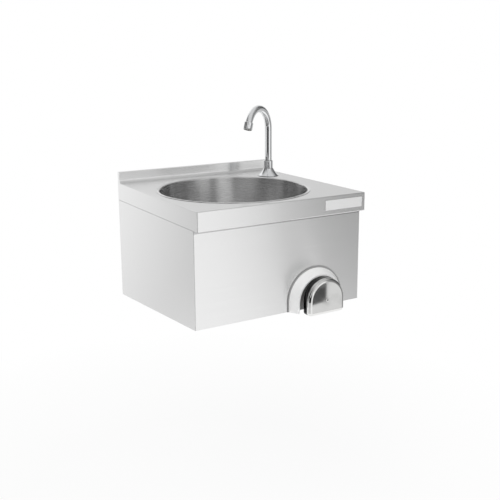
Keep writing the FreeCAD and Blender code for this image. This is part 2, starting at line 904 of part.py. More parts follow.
def spout_foot():
    """Brass sleeve in the tube's lower end, grooved for the two seals."""
    shape = fuse(
        rod(tube_radius, tap_axis(clip_play - foot_depth), tap_axis(foot_joint)),
        rod(tube_bore - thread_clearance, tap_axis(foot_joint), tap_axis(foot_joint + foot_spigot)),
    )
    shape = shape.cut(rod(water_bore, tap_axis(-foot_depth), tap_axis(foot_joint + 2 * foot_spigot)))
    for seal_height in seal_heights:
        low = tap_axis(seal_height - seal_section)
        high = tap_axis(seal_height + seal_section)
        shape = shape.cut(ring(2 * tube_radius, tube_radius - seal_groove_depth, low, high))
    return shape


def spout_seals():
    middle = tube_radius - seal_section
    rings = [torus(middle, seal_section, tap_axis(seal), Z) for seal in seal_heights]
    return Part.makeCompound(rings)


spout_out = at(math.cos(math.radians(spout_heading)), math.sin(math.radians(spout_heading)), 0)
arc_end_angle = math.radians(arc_angle)
arc_centre = tap_axis(spring_height) + spout_out * arc_radius
nozzle_way = Z * math.cos(arc_end_angle) + spout_out * math.sin(arc_end_angle)
arc_end = arc_centre - spout_out * (arc_radius * math.cos(arc_end_angle))
arc_end = arc_end + Z * (arc_radius * math.sin(arc_end_angle))
spout_end = arc_end + nozzle_way * spout_end_length


def gooseneck(radius):
    """A round bar along the spout: up, round the arc and down to the nozzle."""
    circle = Part.Face(Part.Wire(Part.makeCircle(radius, tap_axis(spring_height), Z)))
    turn_axis = Z.cross(spout_out)
    arc = circle.revolve(arc_centre, turn_axis, arc_angle)
    riser = rod(radius, tap_axis(foot_joint), tap_axis(spring_height))
    end = rod(radius, arc_end, spout_end)
    return riser.multiFuse([arc, end])


def spout_tube():
    shape = gooseneck(tube_radius).cut(gooseneck(tube_bore)).removeSplitter()
    groove = ring(2 * tube_radius, tube_radius - clip_depth, tap_axis(clip_foot), tap_axis(clip_top))
    return shape.cut(groove)


def from_nozzle(along):
    """A point on the nozzle's axis, measured down from the nozzle's upper end."""
    return spout_end + nozzle_way * (along - nozzle_socket)


insert_end = nozzle_length - insert_recess
insert_start = nozzle_socket + aerator_washer_thickness


def aerator_housing():
    profile = [
        (tube_radius + thread_clearance, 0),
        (nozzle_radius - nozzle_chamfer, 0),
        (nozzle_radius, nozzle_chamfer),
        (nozzle_radius, nozzle_length - nozzle_chamfer),
        (nozzle_radius - nozzle_chamfer, nozzle_length),
        (insert_radius + thread_clearance, nozzle_length),
        (insert_radius + thread_clearance, nozzle_socket),
        (tube_radius + thread_clearance, nozzle_socket),
    ]
    return turned(profile, from_nozzle(0), nozzle_way)


def aerator_washer():
    start = from_nozzle(insert_start - aerator_washer_thickness)
    return ring(insert_radius, aerator_washer_bore, start, from_nozzle(insert_start))


def aerator_insert():
    """Plastic insert: a cup whose floor is drilled for the water jets."""
    cup = rod(insert_radius, from_nozzle(insert_start), from_nozzle(insert_end))
    hollow_end = from_nozzle(insert_end - insert_floor)
    hollow = rod(insert_cup_radius, from_nozzle(insert_start), hollow_end)
    through = nozzle_way * (3 * insert_floor)
    start = from_nozzle(insert_end - 2 * insert_floor)
    holes = [rod(insert_hole_radius, start, start + through)]
    for radius, count in zip(insert_ring_radii, insert_ring_counts):
        holes += hole_ring(radius, insert_hole_radius, count, start, through)
    return cup.cut(hollow).cut(Part.makeCompound(holes))


def shank_washer():
    inner = shank_radius + shank_hole_clearance
    top = tap_axis(-worktop_sheet)
    return ring(shank_washer_radius, inner, top - Z * shank_washer_thickness, top)


def shank_plate():
    inner = shank_radius + shank_hole_clearance
    top = tap_axis(-worktop_sheet - shank_washer_thickness)
    return ring(shank_washer_radius, inner, top - Z * shank_plate_thickness, top)


def shank_nut():
    top = tap_axis(-worktop_sheet - shank_washer_thickness - shank_plate_thickness)
    bore = shank_radius + thread_clearance
    return hex_nut(shank_nut_flats, bore, top - Z * shank_nut_height, top)


# ---- Water supply ----

valve_outlet = at(knee_x, outlet_y, z_knee + outlet_height)
tube_start = valve_outlet + Z * supply_seal_thickness
tube_finish = tap_axis(-shank_length - supply_seal_thickness)


def supply_route():
    """From the valve up, then midway between the bowl and the right side, up to the shank."""
    side = (bowl_x + bowl_hole_radius + right - casing_sheet) / 2
    first = tube_start + Z * supply_rise
    last = tube_finish - Z * supply_drop
    along = last.y - first.y
    climb = last.z - first.z
    points = [tube_start, first]
    for way, rise, inward in supply_bends:
        points.append(at(side - inward, first.y + along * way, first.z + climb * rise))
    points += [last, tube_finish]
    return rounded_route(points, supply_arc_share)


def supply_tube():
    route, radii = supply_route()
    print("supply tube radii:", [round(radius, 1) for radius in radii])
    shape = swept(route, supply_radius).cut(swept(route, supply_bore))
    section = math.pi * (supply_radius ** 2 - supply_bore ** 2)
    print("supply tube volume:", round(shape.Volume), "by section:", round(section * route.Length))
    flares = []
    for end, inward in ((tube_start, Z), (tube_finish, Z * -1)):
        start = end
        finish = end + inward * supply_flare_thickness
        flares.append(ring(supply_flare_radius, supply_bore, start, finish))
    return fuse(shape, *flares)


def union_nut(seal_face, away):
    """Nut over the thread and the flare; away points from the thread to the tube."""
    length = union_nut_length
    lip_start = supply_seal_thickness + supply_flare_thickness + thread_clearance
    start = seal_face - away * (length - lip_start - union_nut_lip)
    nut = hexagon(union_nut_flats, start, start + away * length)
    thread = rod(union_thread_radius + thread_clearance, start, seal_face + away * lip_start)
    hole = rod(supply_radius + thread_clearance, seal_face, seal_face + away * length)
    return nut.cut(thread).cut(hole)


def supply_nuts():
    lower = union_nut(valve_outlet, Z)
    upper = union_nut(tap_axis(-shank_length), Z * -1)
    return Part.makeCompound([lower, upper])


def supply_seals():
    lower = ring(supply_flare_radius, supply_bore, valve_outlet, tube_start)
    upper = ring(supply_flare_radius, supply_bore, tube_finish, tap_axis(-shank_length))
    return Part.makeCompound([lower, upper])


# ---- Knee control ----

def knee_axis(y):
    return at(knee_x, y, z_knee)


def rounded_arch(half, z_bottom, y0, y1, corner, edge):
    """An arch-shaped block whose lower corners and front edges are rounded."""
    shape = arch_block(half, z_knee, z_bottom, y0, y1)
    corners = edges_where(shape, lambda p: near(abs(p.x - knee_x), half) and near(p.z, z_bottom))
    shape = shape.makeFillet(corner, corners)
    return shape.makeFillet(edge, edges_where(shape, lambda p: near(p.y, y0)))


def knee_pad():
    """Polished cap with a boss inside for the stem."""
    back = pad_y + pad_depth
    z_bottom = z_base - pad_below_base
    cap = rounded_arch(pad_half_width, z_bottom, pad_y, back, pad_corner_radius, pad_edge_radius)
    hollow = rounded_arch(pad_half_width - pad_wall, z_bottom + pad_wall, pad_y + pad_wall,
                          back + pad_wall, pad_corner_radius - pad_wall,
                          pad_edge_radius - pad_wall)
    inside = pad_y + pad_wall / 2
    boss = rod(pad_boss_radius, knee_axis(inside), knee_axis(pad_y + pad_wall + pad_boss_length))
    shape = fuse(cap.cut(hollow), boss)
    socket = rod(stem_radius + 2 * stem_clearance, knee_axis(stem_front_y),
                 knee_axis(pad_y + pad_depth))
    hole = rod(pad_screw_radius + thread_clearance, knee_axis(pad_y - pad_wall),
               knee_axis(pad_y + pad_depth))
    return shape.cut(socket).cut(hole)


def pad_screw():
    """Socket screw at the pad's centre."""
    crown = pad_y - pad_screw_head_height
    head = rod(pad_screw_head_radius, knee_axis(crown), knee_axis(pad_y))
    rim = edges_where(head, lambda p: near(p.y, crown))
    head = head.makeFillet(pad_screw_head_height / 2, rim)
    shaft = rod(pad_screw_radius, knee_axis(pad_y - pad_screw_head_height / 2),
                knee_axis(pad_y + pad_screw_length))
    socket = hexagon(pad_screw_socket_flats, knee_axis(crown),
                     knee_axis(crown + pad_screw_socket_depth))
    return fuse(head, shaft).cut(socket)


def push_stem():
    """Stem with a tapped bore at each end and a thinner spigot for the plunger's washer."""
    shape = rod(stem_radius, knee_axis(stem_front_y + stem_clearance), knee_axis(disc_y))
    front_bore = rod(pad_screw_radius + thread_clearance, knee_axis(stem_front_y),
                     knee_axis(pad_y + pad_screw_length + drill_run_out))
    rear_start = disc_y - plunger_screw_length - drill_run_out
    rear_bore = rod(plunger_screw_radius + thread_clearance, knee_axis(rear_start),
                    knee_axis(disc_y))
    around_spigot = ring(2 * stem_radius, stem_spigot_radius, knee_axis(rear_y + seat_play),
                         knee_axis(disc_y))
    return shape.cut(front_bore).cut(rear_bore).cut(around_spigot)


def knee_shroud():
    """Bright collar round the pad: an arch-shaped cone, open below, with a turned-in rim."""
    y_rim = front - shroud_front
    s = shroud_sheet
    outer = arch_loft(shroud_front_half, shroud_base_half, z_shroud, z_base, y_rim, gasket_y)
    rim = edges_where(outer, lambda p: near(p.y, y_rim) and p.z > z_base + tolerance)
    outer = outer.makeFillet(shroud_rim_radius, rim)
    slope = (shroud_base_half - shroud_front_half) / (gasket_y - y_rim)
    hollow = arch_loft(shroud_front_half - s + slope * s, shroud_base_half - s - slope * s,
                       z_shroud, z_base - s, y_rim + s, gasket_y - s)
    opening = arch_block(shroud_opening_half, z_shroud, z_base - s, y_rim - s, y_rim + 2 * s)
    flange_opening = arch_block(shroud_base_half - s - shroud_flange, z_shroud, z_base - s,
                                gasket_y - 2 * s, gasket_y + s)
    shape = outer.cut(hollow).cut(opening).cut(flange_opening)
    for place in shroud_screw_places(gasket_y - 2 * s):
        hole = rod(shroud_screw_radius + thread_clearance, place, place + Y * 3 * s)
        shape = shape.cut(hole)
    return shape


def shroud_gasket():
    half = shroud_base_half + shroud_gasket_margin
    shape = arch_block(half, z_shroud, z_base, gasket_y, panel_front)
    through = Y * (3 * shroud_gasket_thickness)
    start = knee_axis(gasket_y - shroud_gasket_thickness)
    shape = shape.cut(rod(valve_neck_radius + screw_hole_clearance, start, start + through))
    for place in shroud_screw_places(gasket_y - shroud_gasket_thickness):
        hole = rod(shroud_screw_radius + screw_hole_clearance, place, place + through)
        shape = shape.cut(hole)
    return shape


def shroud_screws():
    screws = []
    tip = gasket_y - shroud_sheet
    for place in shroud_screw_places(tip):
        seat = at(place.x, panel_back, place.z)
        shaft = rod(shroud_screw_radius, place, seat + Y * (shroud_screw_head_height / 2))
        head = rod(shroud_screw_head_radius, seat, seat + Y * shroud_screw_head_height)
        slot_half = shroud_screw_slot / 2
        slot_y = seat.y + shroud_screw_head_height / 2
        slot = block(seat.x - shroud_screw_head_radius, seat.x + shroud_screw_head_radius,
                     slot_y, seat.y + shroud_screw_head_height,
                     seat.z - slot_half, seat.z + slot_half)
        screws.append(fuse(shaft, head).cut(slot))
    return Part.makeCompound(screws)


# ---- Knee valve ----

inlet_places = [knee_x - inlet_spacing / 2, knee_x + inlet_spacing / 2]


def valve_body():
    """Cast body: neck through the panel, two chambers, two inlet elbows and the outlet."""
    outside = [
        rod(valve_neck_radius, knee_axis(neck_y), knee_axis(barrel_y + front_wall)),
        rod(barrel_radius, knee_axis(barrel_y), knee_axis(valve_end_y)),
        rod(arm_radius, at(inlet_places[0], inlet_y, z_knee), at(inlet_places[1], inlet_y, z_knee)),
        rod(union_thread_radius, at(knee_x, outlet_y, z_knee), valve_outlet),
    ]
    inside = [
        rod(valve_neck_bore + thread_clearance, knee_axis(neck_y), knee_axis(chamber_y)),
        rod(front_chamber_radius, knee_axis(chamber_y), knee_axis(seat_y)),
        rod(seat_radius, knee_axis(seat_y), knee_axis(rear_y)),
        rod(rear_chamber_radius, knee_axis(rear_y), knee_axis(cap_y)),
        rod(cap_radius + thread_clearance, knee_axis(cap_y), knee_axis(valve_end_y)),
        rod(water_bore, at(knee_x, outlet_y, z_knee), valve_outlet),
    ]
    for x in inlet_places:
        elbow = at(x, inlet_y - elbow_front, z_knee)
        mouth = at(x, nipple_y, z_knee)
        outside.append(rod(elbow_radius, elbow, mouth))
        spigot = mouth - Y * nipple_spigot_length
        inside.append(rod(nipple_spigot_radius + thread_clearance, spigot, mouth))
        inside.append(rod(water_bore, at(x, inlet_y - water_bore, z_knee), mouth))
        inside.append(rod(water_bore, at(x, inlet_y, z_knee), knee_axis(inlet_y)))
    shape = fuse(*outside)
    for hollow in inside:
        shape = shape.cut(hollow)
    return shape


def panel_seal():
    inner = valve_neck_radius + screw_hole_clearance
    return ring(barrel_radius, inner, knee_axis(panel_back), knee_axis(barrel_y))


def panel_nut():
    bore = valve_neck_radius + thread_clearance
    return hex_nut(panel_nut_flats, bore, knee_axis(gasket_y - panel_nut_thickness),
                   knee_axis(gasket_y))


seal_y = neck_y + stem_seal_from_front


def valve_bonnet():
    """Gland nut: it closes the neck and guides the stem."""
    head = hexagon(bonnet_flats, knee_axis(neck_y - bonnet_head), knee_axis(neck_y))
    plug = rod(valve_neck_bore, knee_axis(neck_y), knee_axis(neck_y + bonnet_plug))
    shape = fuse(head, plug)
    bore = rod(stem_radius + stem_clearance, knee_axis(neck_y - 2 * bonnet_head),
               knee_axis(neck_y + 2 * bonnet_plug))
    groove_radius = stem_radius + 2 * stem_seal_section + 3 * stem_clearance
    groove = rod(groove_radius, knee_axis(seal_y - stem_seal_section - stem_clearance),
                 knee_axis(seal_y + stem_seal_section + stem_clearance))
    return shape.cut(bore).cut(groove)


def stem_seal():
    middle = stem_radius + 2 * stem_clearance + stem_seal_section
    return torus(middle, stem_seal_section, knee_axis(seal_y), Y)


def valve_cap():
    plug = rod(cap_radius, knee_axis(cap_y), knee_axis(valve_end_y))
    head = hexagon(cap_flats, knee_axis(valve_end_y), knee_axis(valve_end_y + cap_head))
    return fuse(plug, head)


def plunger_washer():
    start = rear_y + seat_play
    inner = stem_spigot_radius + thread_clearance
    return ring(washer_radius, inner, knee_axis(start), knee_axis(disc_y))


def plunger_disc():
    bore = plunger_screw_radius + thread_clearance
    return ring(disc_radius, bore, knee_axis(disc_y), knee_axis(spring_y))


def plunger_screw():
    tip = knee_axis(disc_y - plunger_screw_length)
    seat = knee_axis(spring_y)
    shaft = rod(plunger_screw_radius, tip, seat)
    head = hexagon(plunger_screw_flats, seat, seat + Y * plunger_screw_head_height)
    return fuse(shaft, head)


def return_spring():
    """Coil between the plunger disc and the valve cap, drawn at its rest length."""
    foot = spring_y + seat_play + spring_wire
    length = spring_length - seat_play - 2 * spring_wire
    pitch = length / spring_turns
    helix = Part.makeHelix(pitch, length, spring_radius)
    helix.rotate(at(0, 0, 0), X, -90)
    helix.translate(knee_axis(foot))
    start = helix.Edges[0].Vertexes[0].Point
    along = helix.Edges[0].tangentAt(helix.Edges[0].FirstParameter)
    circle = Part.Wire(Part.makeCircle(spring_wire, start, along))
    coil = Part.Wire(helix.Edges).makePipeShell([circle], True, True)
    print("spring gap between turns:", round(pitch - 2 * spring_wire, 2))
    return coil


def inlet_nipples():
    pieces = []
    for x in inlet_places:
        mouth = at(x, nipple_y, z_knee)
        thread = mouth + Y * nipple_hex
        end = thread + Y * nipple_thread_length
        inner = mouth - Y * (nipple_spigot_length - thread_clearance)
        shape = fuse(
            rod(nipple_spigot_radius, inner, mouth),
            hexagon(nipple_flats, mouth, thread),
            rod(nipple_thread_radius, thread, end),
        )
        pieces.append(shape.cut(rod(nipple_bore, inner, end)))
    return Part.makeCompound(pieces)


def check_valves():
    """Non-return inserts: a sleeve with a small poppet in each inlet."""
    pieces = []
    for x in inlet_places:
        start = at(x, nipple_y - nipple_spigot_length + 2 * thread_clearance, z_knee)
        end = start + Y * check_valve_length
        sleeve = ring(nipple_bore - thread_clearance, check_valve_bore, start, end)
        poppet_radius = check_valve_bore - poppet_clearance
        poppet = Part.makeCone(poppet_radius, poppet_tip_radius, poppet_length, start, Y)
        reach = check_valve_bore + poppet_clearance
        bar = block(x - reach, x + reach, start.y, start.y + poppet_bar,
                    z_knee - poppet_bar / 2, z_knee + poppet_bar / 2)
        pieces.append(fuse(sleeve, poppet, bar))
    return Part.makeCompound(pieces)


def inlet_filters():
    pieces = []
    for x in inlet_places:
        end = at(x, nipple_y + nipple_hex + nipple_thread_length - filter_recess, z_knee)
        start = end - Y * filter_thickness
        disc = rod(nipple_bore - thread_clearance, start, end)
        through = Y * (3 * filter_thickness)
        below = start - Y * filter_thickness
        holes = [rod(filter_hole_radius, below, below + through)]
        holes += hole_ring(filter_ring_radius, filter_hole_radius, filter_ring_count, below, through)
        pieces.append(disc.cut(Part.makeCompound(holes)))
    return Part.makeCompound(pieces)


# ---- Every sub-part, one file each ----

sub_parts = [
    worktop, bowl, casing, nameplate, wall_rail, rear_crossbar,
    waste_strainer, waste_top_gasket, waste_bottom_gasket, waste_body, waste_screw,
    tap_base, swivel_collar, spout_tube, spout_foot, spout_seals, spout_clip, spout_bush,
    aerator_housing, aerator_washer, aerator_insert,
    deck_gasket, shank_washer, shank_plate, shank_nut,
    supply_tube, supply_nuts, supply_seals,
    knee_pad, pad_screw, push_stem, knee_shroud, shroud_gasket, shroud_screws,
    valve_body, panel_seal, panel_nut, valve_bonnet, stem_seal, valve_cap,
    plunger_washer, plunger_disc, plunger_screw, return_spring,
    inlet_nipples, check_valves, inlet_filters,
]

os.makedirs("parts", exist_ok=True)
for make in sub_parts:
    shape = make()
    shape.exportStep("parts/" + make.__name__ + ".step")
    state = "ok" if shape.isValid() else "NOT VALID"
    print(make.__name__, len(shape.Solids), "solids", round(shape.Volume), "mm3", state)
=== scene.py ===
# %% [markdown]
# # A wall-hung hand wash sink of stainless steel
# The construction comes packed from the workshop: every piece has its real size and place, and
# none of them is moved or resized here. This lesson dresses that model. It gives each piece the
# surface that it has in the hand, puts an embossed plate in the place of a plain one and a copy of
# the spring in the place of the workshop's, and winds four threads that are too fine for the
# workshop drawing. Lengths are in metres. X runs along the front, Y points to the wall, Z points
# up.

import json
import math

import bmesh
import bpy
from mathutils import Matrix, Vector


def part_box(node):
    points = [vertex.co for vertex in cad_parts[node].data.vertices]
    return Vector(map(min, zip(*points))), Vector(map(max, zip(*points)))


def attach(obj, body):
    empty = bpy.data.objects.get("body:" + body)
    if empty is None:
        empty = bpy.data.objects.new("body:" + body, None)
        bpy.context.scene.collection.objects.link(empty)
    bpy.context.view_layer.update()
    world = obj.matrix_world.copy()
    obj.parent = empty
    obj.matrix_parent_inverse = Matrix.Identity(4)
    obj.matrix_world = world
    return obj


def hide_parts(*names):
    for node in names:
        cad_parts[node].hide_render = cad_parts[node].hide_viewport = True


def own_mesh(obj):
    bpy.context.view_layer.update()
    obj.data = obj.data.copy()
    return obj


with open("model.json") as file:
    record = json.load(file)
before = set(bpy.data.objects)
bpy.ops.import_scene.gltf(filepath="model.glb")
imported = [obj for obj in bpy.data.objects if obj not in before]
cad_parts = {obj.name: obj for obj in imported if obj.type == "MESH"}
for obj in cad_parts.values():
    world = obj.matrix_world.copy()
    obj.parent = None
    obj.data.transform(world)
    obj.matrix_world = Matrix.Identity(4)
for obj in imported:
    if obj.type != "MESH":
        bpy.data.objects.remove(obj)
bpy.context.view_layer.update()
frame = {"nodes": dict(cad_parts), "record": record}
print("pieces in the packed model:", len(frame["nodes"]))

# %% [markdown]
# ## Camera
# The picture that this sink follows was taken from the left front corner and from above the rim,
# with a slightly long lens. A camera can be matched by eye, but here it was worked out from
# corners, edges and the bowl's rim, whose places in the model are known, so its place and turns
# are plain numbers. The small shift keeps the sink at its height in the picture.

# %% Place the camera
eye = Vector((-0.83742, -1.66651, 0.37044))
eye_yaw = math.radians(30.717)
eye_pitch = math.radians(-12.569)
eye_roll = math.radians(0.313)
lens_mm = 55.69
film_mm = 36.0
frame_shift = -0.05

lens = bpy.data.cameras.new("lens")
lens.lens = lens_mm
lens.sensor_width = film_mm
lens.shift_y = frame_shift
camera = bpy.data.objects.new("camera", lens)
bpy.context.scene.collection.objects.link(camera)
bpy.context.scene.camera = camera

turn = (Matrix.Rotation(-eye_yaw, 3, "Z") @ Matrix.Rotation(eye_pitch, 3, "X")
        @ Matrix.Rotation(eye_roll, 3, "Y"))
right_way, view_way, up_way = turn.col
camera_turn = Matrix((right_way, up_way, -view_way)).transposed().to_4x4()
camera.matrix_world = Matrix.Translation(eye) @ camera_turn
print("camera looks along", [round(value, 3) for value in view_way])

# %% [markdown]
# ## Helpers for shader trees
# A shader tree is a list of nodes and wires. A few small helpers keep each material readable: one
# adds a node and fills or wires its inputs by name, and the others do the same for a calculation,
# a mix of two values and a fade.

# %% Shader helpers
def wire(tree, value, socket):
    """Wire an output into a socket, or set the socket to a plain value."""
    if isinstance(value, bpy.types.NodeSocket):
        tree.links.new(value, socket)
    else:
        socket.default_value = value


def add(tree, kind, **inputs):
    """Add a node. An input's name is written with _ for each space."""
    node = tree.nodes.new("ShaderNode" + kind)
    for name, value in inputs.items():
        wire(tree, value, node.inputs[name.replace("_", " ")])
    return node


def calc(tree, operation, *values, clamp=False):
    """A calculation on numbers."""
    node = tree.nodes.new("ShaderNodeMath")
    node.operation = operation
    node.use_clamp = clamp
    for value, socket in zip(values, node.inputs):
        wire(tree, value, socket)
    return node.outputs[0]


def vector_calc(tree, operation, *values):
    """A calculation on vectors."""
    node = tree.nodes.new("ShaderNodeVectorMath")
    node.operation = operation
    for value, socket in zip(values, node.inputs):
        wire(tree, value, socket)
    return node.outputs["Value" if operation in ("DOT_PRODUCT", "LENGTH") else "Vector"]


def between(tree, factor, low, high):
    """A number between two others."""
    node = tree.nodes.new("ShaderNodeMix")
    wire(tree, factor, node.inputs["Factor"])
    wire(tree, low, node.inputs["A"])
    wire(tree, high, node.inputs["B"])
    return node.outputs["Result"]


def tint(tree, factor, low, high):
    """A colour between two others."""
    node = tree.nodes.new("ShaderNodeMix")
    node.data_type = "RGBA"
    wire(tree, factor, node.inputs[0])
    wire(tree, low, node.inputs[6])
    wire(tree, high, node.inputs[7])
    return node.outputs[2]


def fade(tree, value, start, end):
    """A number that is 0 at start and 1 at end, and stays so beyond them."""
    return add(tree, "MapRange", Value=value, From_Min=start, From_Max=end).outputs[0]


def grey(level):
    """An opaque grey."""
    return (level, level, level, 1.0)


print("shader helpers ready")

# %% [markdown]
# ## The studio
# Polished steel has hardly a colour of its own: what is seen is the room. The picture looks as if
# the sink had hung in a white tent with grey flags round it. Here the tent is the world. To the
# camera it is plain white. The metal sees the same white tent with the flags in front of it,
# written as rings of tones, one for each compass direction. Bearings run anticlockwise from +X,
# seen from above. The low ring is what the panels mirror. The bowl can only look up over its own
# rim, so it mirrors the high ring. Overhead and far down the tent is even. The tones were set a
# few at a time, until light and dark fell where the picture has them.

# %% Tones of the tent by bearing
low_tones = [
    (-180, 0.85), (-150, 0.68), (-125, 0.85), (-100, 0.95), (-84, 0.97), (-72, 1.00), (-62, 1.00),
    (-58, 0.84), (-55, 0.44), (-51, 0.32), (-38, 0.24), (-20, 0.26), (0, 0.45), (25, 0.70),
    (50, 0.74), (69, 0.66), (84, 0.90), (98, 1.00), (111, 1.00), (119, 0.48), (126, 0.48),
    (138, 0.90), (158, 0.70), (180, 0.85),
]
high_tones = [
    (-180, 0.01), (-170, 0.01), (-162, 0.22), (-154, 0.50), (-146, 0.62), (-138, 0.56),
    (-129, 0.30), (-121, 0.14), (-113, 0.80), (-104, 0.95), (-96, 0.90), (-88, 0.45),
    (-78, 0.58), (-64, 0.62), (-52, 0.36), (-38, 0.22), (-2, 0.10), (14, 0.01), (24, 0.08),
    (36, 0.72), (50, 0.81), (60, 0.78), (69, 0.92), (84, 1.00), (107, 1.00), (116, 0.50),
    (124, 0.04), (138, 0.01), (150, 0.12), (160, 0.36), (170, 0.06), (180, 0.01),
]
tent_top = 0.62
tent_floor = 0.85


def tone_ramp(tree, turn_share, tones):
    """A colour ramp through (bearing, tone) pairs. It holds 32 of them at most."""
    ramp = add(tree, "ValToRGB", Fac=turn_share)
    elements = ramp.color_ramp.elements
    for number, (bearing, tone) in enumerate(tones):
        share = (bearing + 180) / 360
        element = elements[number] if number < 2 else elements.new(share)
        element.position = share
        element.color = grey(tone)
    return ramp.outputs["Color"]


print("bearings with a tone of their own:", len(low_tones), "low,", len(high_tones), "high")

# %% [markdown]
# The tap stands higher than the bowl and the panels, so it mirrors a narrow band of the tent just
# below eye level that nothing else looks at. A black flag hangs in that band and draws the dark
# line down the riser. It is a window in bearing and in height, with soft edges. A white card
# stands low at the right front in the same way. The worktop throws it on to the upstand. Heights
# are the Z of a direction, and turns are shares of a full turn that starts at the bearing -180.

# %% The tent and its black flag
black_flag = {"heights": (-0.30, 0.05, 0.02), "turns": (0.010, 0.215, 0.006), "tone": 0.03}
white_card = {"heights": (0.05, 0.38, 0.05), "turns": (0.285, 0.338, 0.01), "tone": 1.0}
rings_meet = (0.0, 0.05)
top_begins = (0.60, 0.90)
floor_begins = (-0.55, -0.95)


def window(tree, value, low, high, soft):
    """1 between low and high, falling to 0 within soft outside them."""
    return calc(tree, "MULTIPLY", fade(tree, value, low - soft, low),
                fade(tree, value, high + soft, high))


world = bpy.data.worlds.new("tent")
world.use_nodes = True
bpy.context.scene.world = world
tree = world.node_tree
tree.nodes.clear()
way = add(tree, "SeparateXYZ", Vector=add(tree, "TexCoord").outputs["Generated"]).outputs
bearing = calc(tree, "ARCTAN2", way["Y"], way["X"])
turn_share = calc(tree, "MULTIPLY_ADD", bearing, 0.5 / math.pi, 0.5)
low_ring = tone_ramp(tree, turn_share, low_tones)
high_ring = tone_ramp(tree, turn_share, high_tones)
ring = tint(tree, fade(tree, way["Z"], *rings_meet), low_ring, high_ring)
for hung in (black_flag, white_card):
    covered = calc(tree, "MULTIPLY", window(tree, turn_share, *hung["turns"]),
                   window(tree, way["Z"], *hung["heights"]))
    ring = tint(tree, covered, ring, grey(hung["tone"]))
roofed = tint(tree, fade(tree, way["Z"], *top_begins), ring, grey(tent_top))
tent = tint(tree, fade(tree, way["Z"], *floor_begins), roofed, grey(tent_floor))
rays = add(tree, "LightPath").outputs
seen = calc(tree, "MAXIMUM", rays["Is Camera Ray"], rays["Is Transmission Ray"])
surround = add(tree, "Background", Color=tint(tree, seen, tent, grey(1.0)), Strength=1.0)
add(tree, "OutputWorld", Surface=surround.outputs[0])
print("tent ready, with a black flag and a white card")

# %% [markdown]
# ## The floor
# The sink hangs on a wall with its rim at hand height, so the floor lies well below it. It is
# pale and shows white to the camera and in the metal. Under the sink, part of what is seen stays
# ordinary matt paint, so the sink's soft shadow still falls on it. Further out the paint fades
# into the white of the tent, and no edge shows.

# %% Make the floor
floor_below = 0.80
floor_half = 1.5
shadow_share = 0.10
shadow_reach = 0.5
fade_reach = 1.3


def stage_sheet(name, corners, material):
    """A flat four-cornered sheet that belongs to the studio."""
    mesh = bpy.data.meshes.new(name)
    mesh.from_pydata(corners, [], [range(4)])
    mesh.materials.append(material)
    sheet = bpy.data.objects.new(name, mesh)
    bpy.context.scene.collection.objects.link(sheet)


floor_paint = bpy.data.materials.new("floor_paint")
floor_paint.use_nodes = True
tree = floor_paint.node_tree
tree.nodes.clear()
path = add(tree, "LightPath").outputs
mirrored = calc(tree, "MAXIMUM", path["Is Glossy Ray"], path["Is Transmission Ray"])
lit = calc(tree, "MAXIMUM", path["Is Camera Ray"], mirrored)
place = vector_calc(tree, "MULTIPLY", add(tree, "TexCoord").outputs["Object"], (1.0, 1.0, 0.0))
out_from_sink = vector_calc(tree, "LENGTH", place)
painted = add(tree, "MapRange", Value=out_from_sink, From_Min=shadow_reach, From_Max=fade_reach,
              To_Min=shadow_share, To_Max=0.0).outputs[0]
paint = add(tree, "BsdfDiffuse", Color=grey(0.95))
glow = add(tree, "Emission", Color=grey(1.0), Strength=1.0)
glow_share = calc(tree, "MULTIPLY", lit, calc(tree, "SUBTRACT", 1.0, painted))
mixed = add(tree, "MixShader", Fac=glow_share)
wire(tree, paint.outputs[0], mixed.inputs[1])
wire(tree, glow.outputs[0], mixed.inputs[2])
add(tree, "OutputMaterial", Surface=mixed.outputs[0])
floor_corners = [(x * floor_half, y * floor_half, -floor_below)
                 for x, y in ((-1, -1), (1, -1), (1, 1), (-1, 1))]
stage_sheet("floor", floor_corners, floor_paint)
print("floor", floor_below, "m below the wall screws")

# %% [markdown]
# ## Lamps
# Two large soft lamps stand outside the picture, one high on the left and one low on the right.
# They are weak: the tent does most of the lighting, and they only give the shapes a side. The
# metal doesn't mirror them, because the flags already draw what it shows.

# %% Hang the lamps
def soft_lamp(name, place, aim, size, power):
    """A square lamp that looks at a point."""
    data = bpy.data.lights.new(name, "AREA")
    data.shape = "SQUARE"
    data.size = size
    data.energy = power
    lamp = bpy.data.objects.new(name, data)
    aimed = (Vector(aim) - Vector(place)).to_track_quat("-Z", "Y").to_matrix().to_4x4()
    lamp.matrix_world = Matrix.Translation(place) @ aimed
    lamp.visible_glossy = False
    bpy.context.scene.collection.objects.link(lamp)


middle = (0.0, -0.2, 0.0)
soft_lamp("high_lamp", (-1.3, -1.5, 1.6), middle, size=1.4, power=30.0)
soft_lamp("low_lamp", (1.6, -1.2, 0.3), middle, size=1.2, power=5.0)

# %% [markdown]
# ## Two cards for the knee pad
# The face of the knee pad is a flat mirror, so it shows only what stands at one spot in front of
# it: a pale wall, and a dark corner whose tip falls just beside the screw. Two cards stand at
# that spot. A mirror is seen through like a window, so their corners are found by looking from
# the eye's mirror image through points on the pad's face.

# %% Stand up the two cards
mm = 0.001
card_distance = 0.35
dark_card_ahead = 5 * mm
pale_tone = 0.76
dark_tone = 0.07
pad_low, pad_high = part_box("knee_pad")


def box_middle(node):
    """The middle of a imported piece's box."""
    low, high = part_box(node)
    return (low + high) / 2


def through_the_pad(x, z, distance):
    """The spot in front of the pad that its face shows at (x, z)."""
    mirrored_eye = Vector((eye.x, 2 * pad_low.y - eye.y, eye.z))
    spot = Vector((x, pad_low.y, z))
    return mirrored_eye + (spot - mirrored_eye) * (1 - distance / (pad_low.y - mirrored_eye.y))


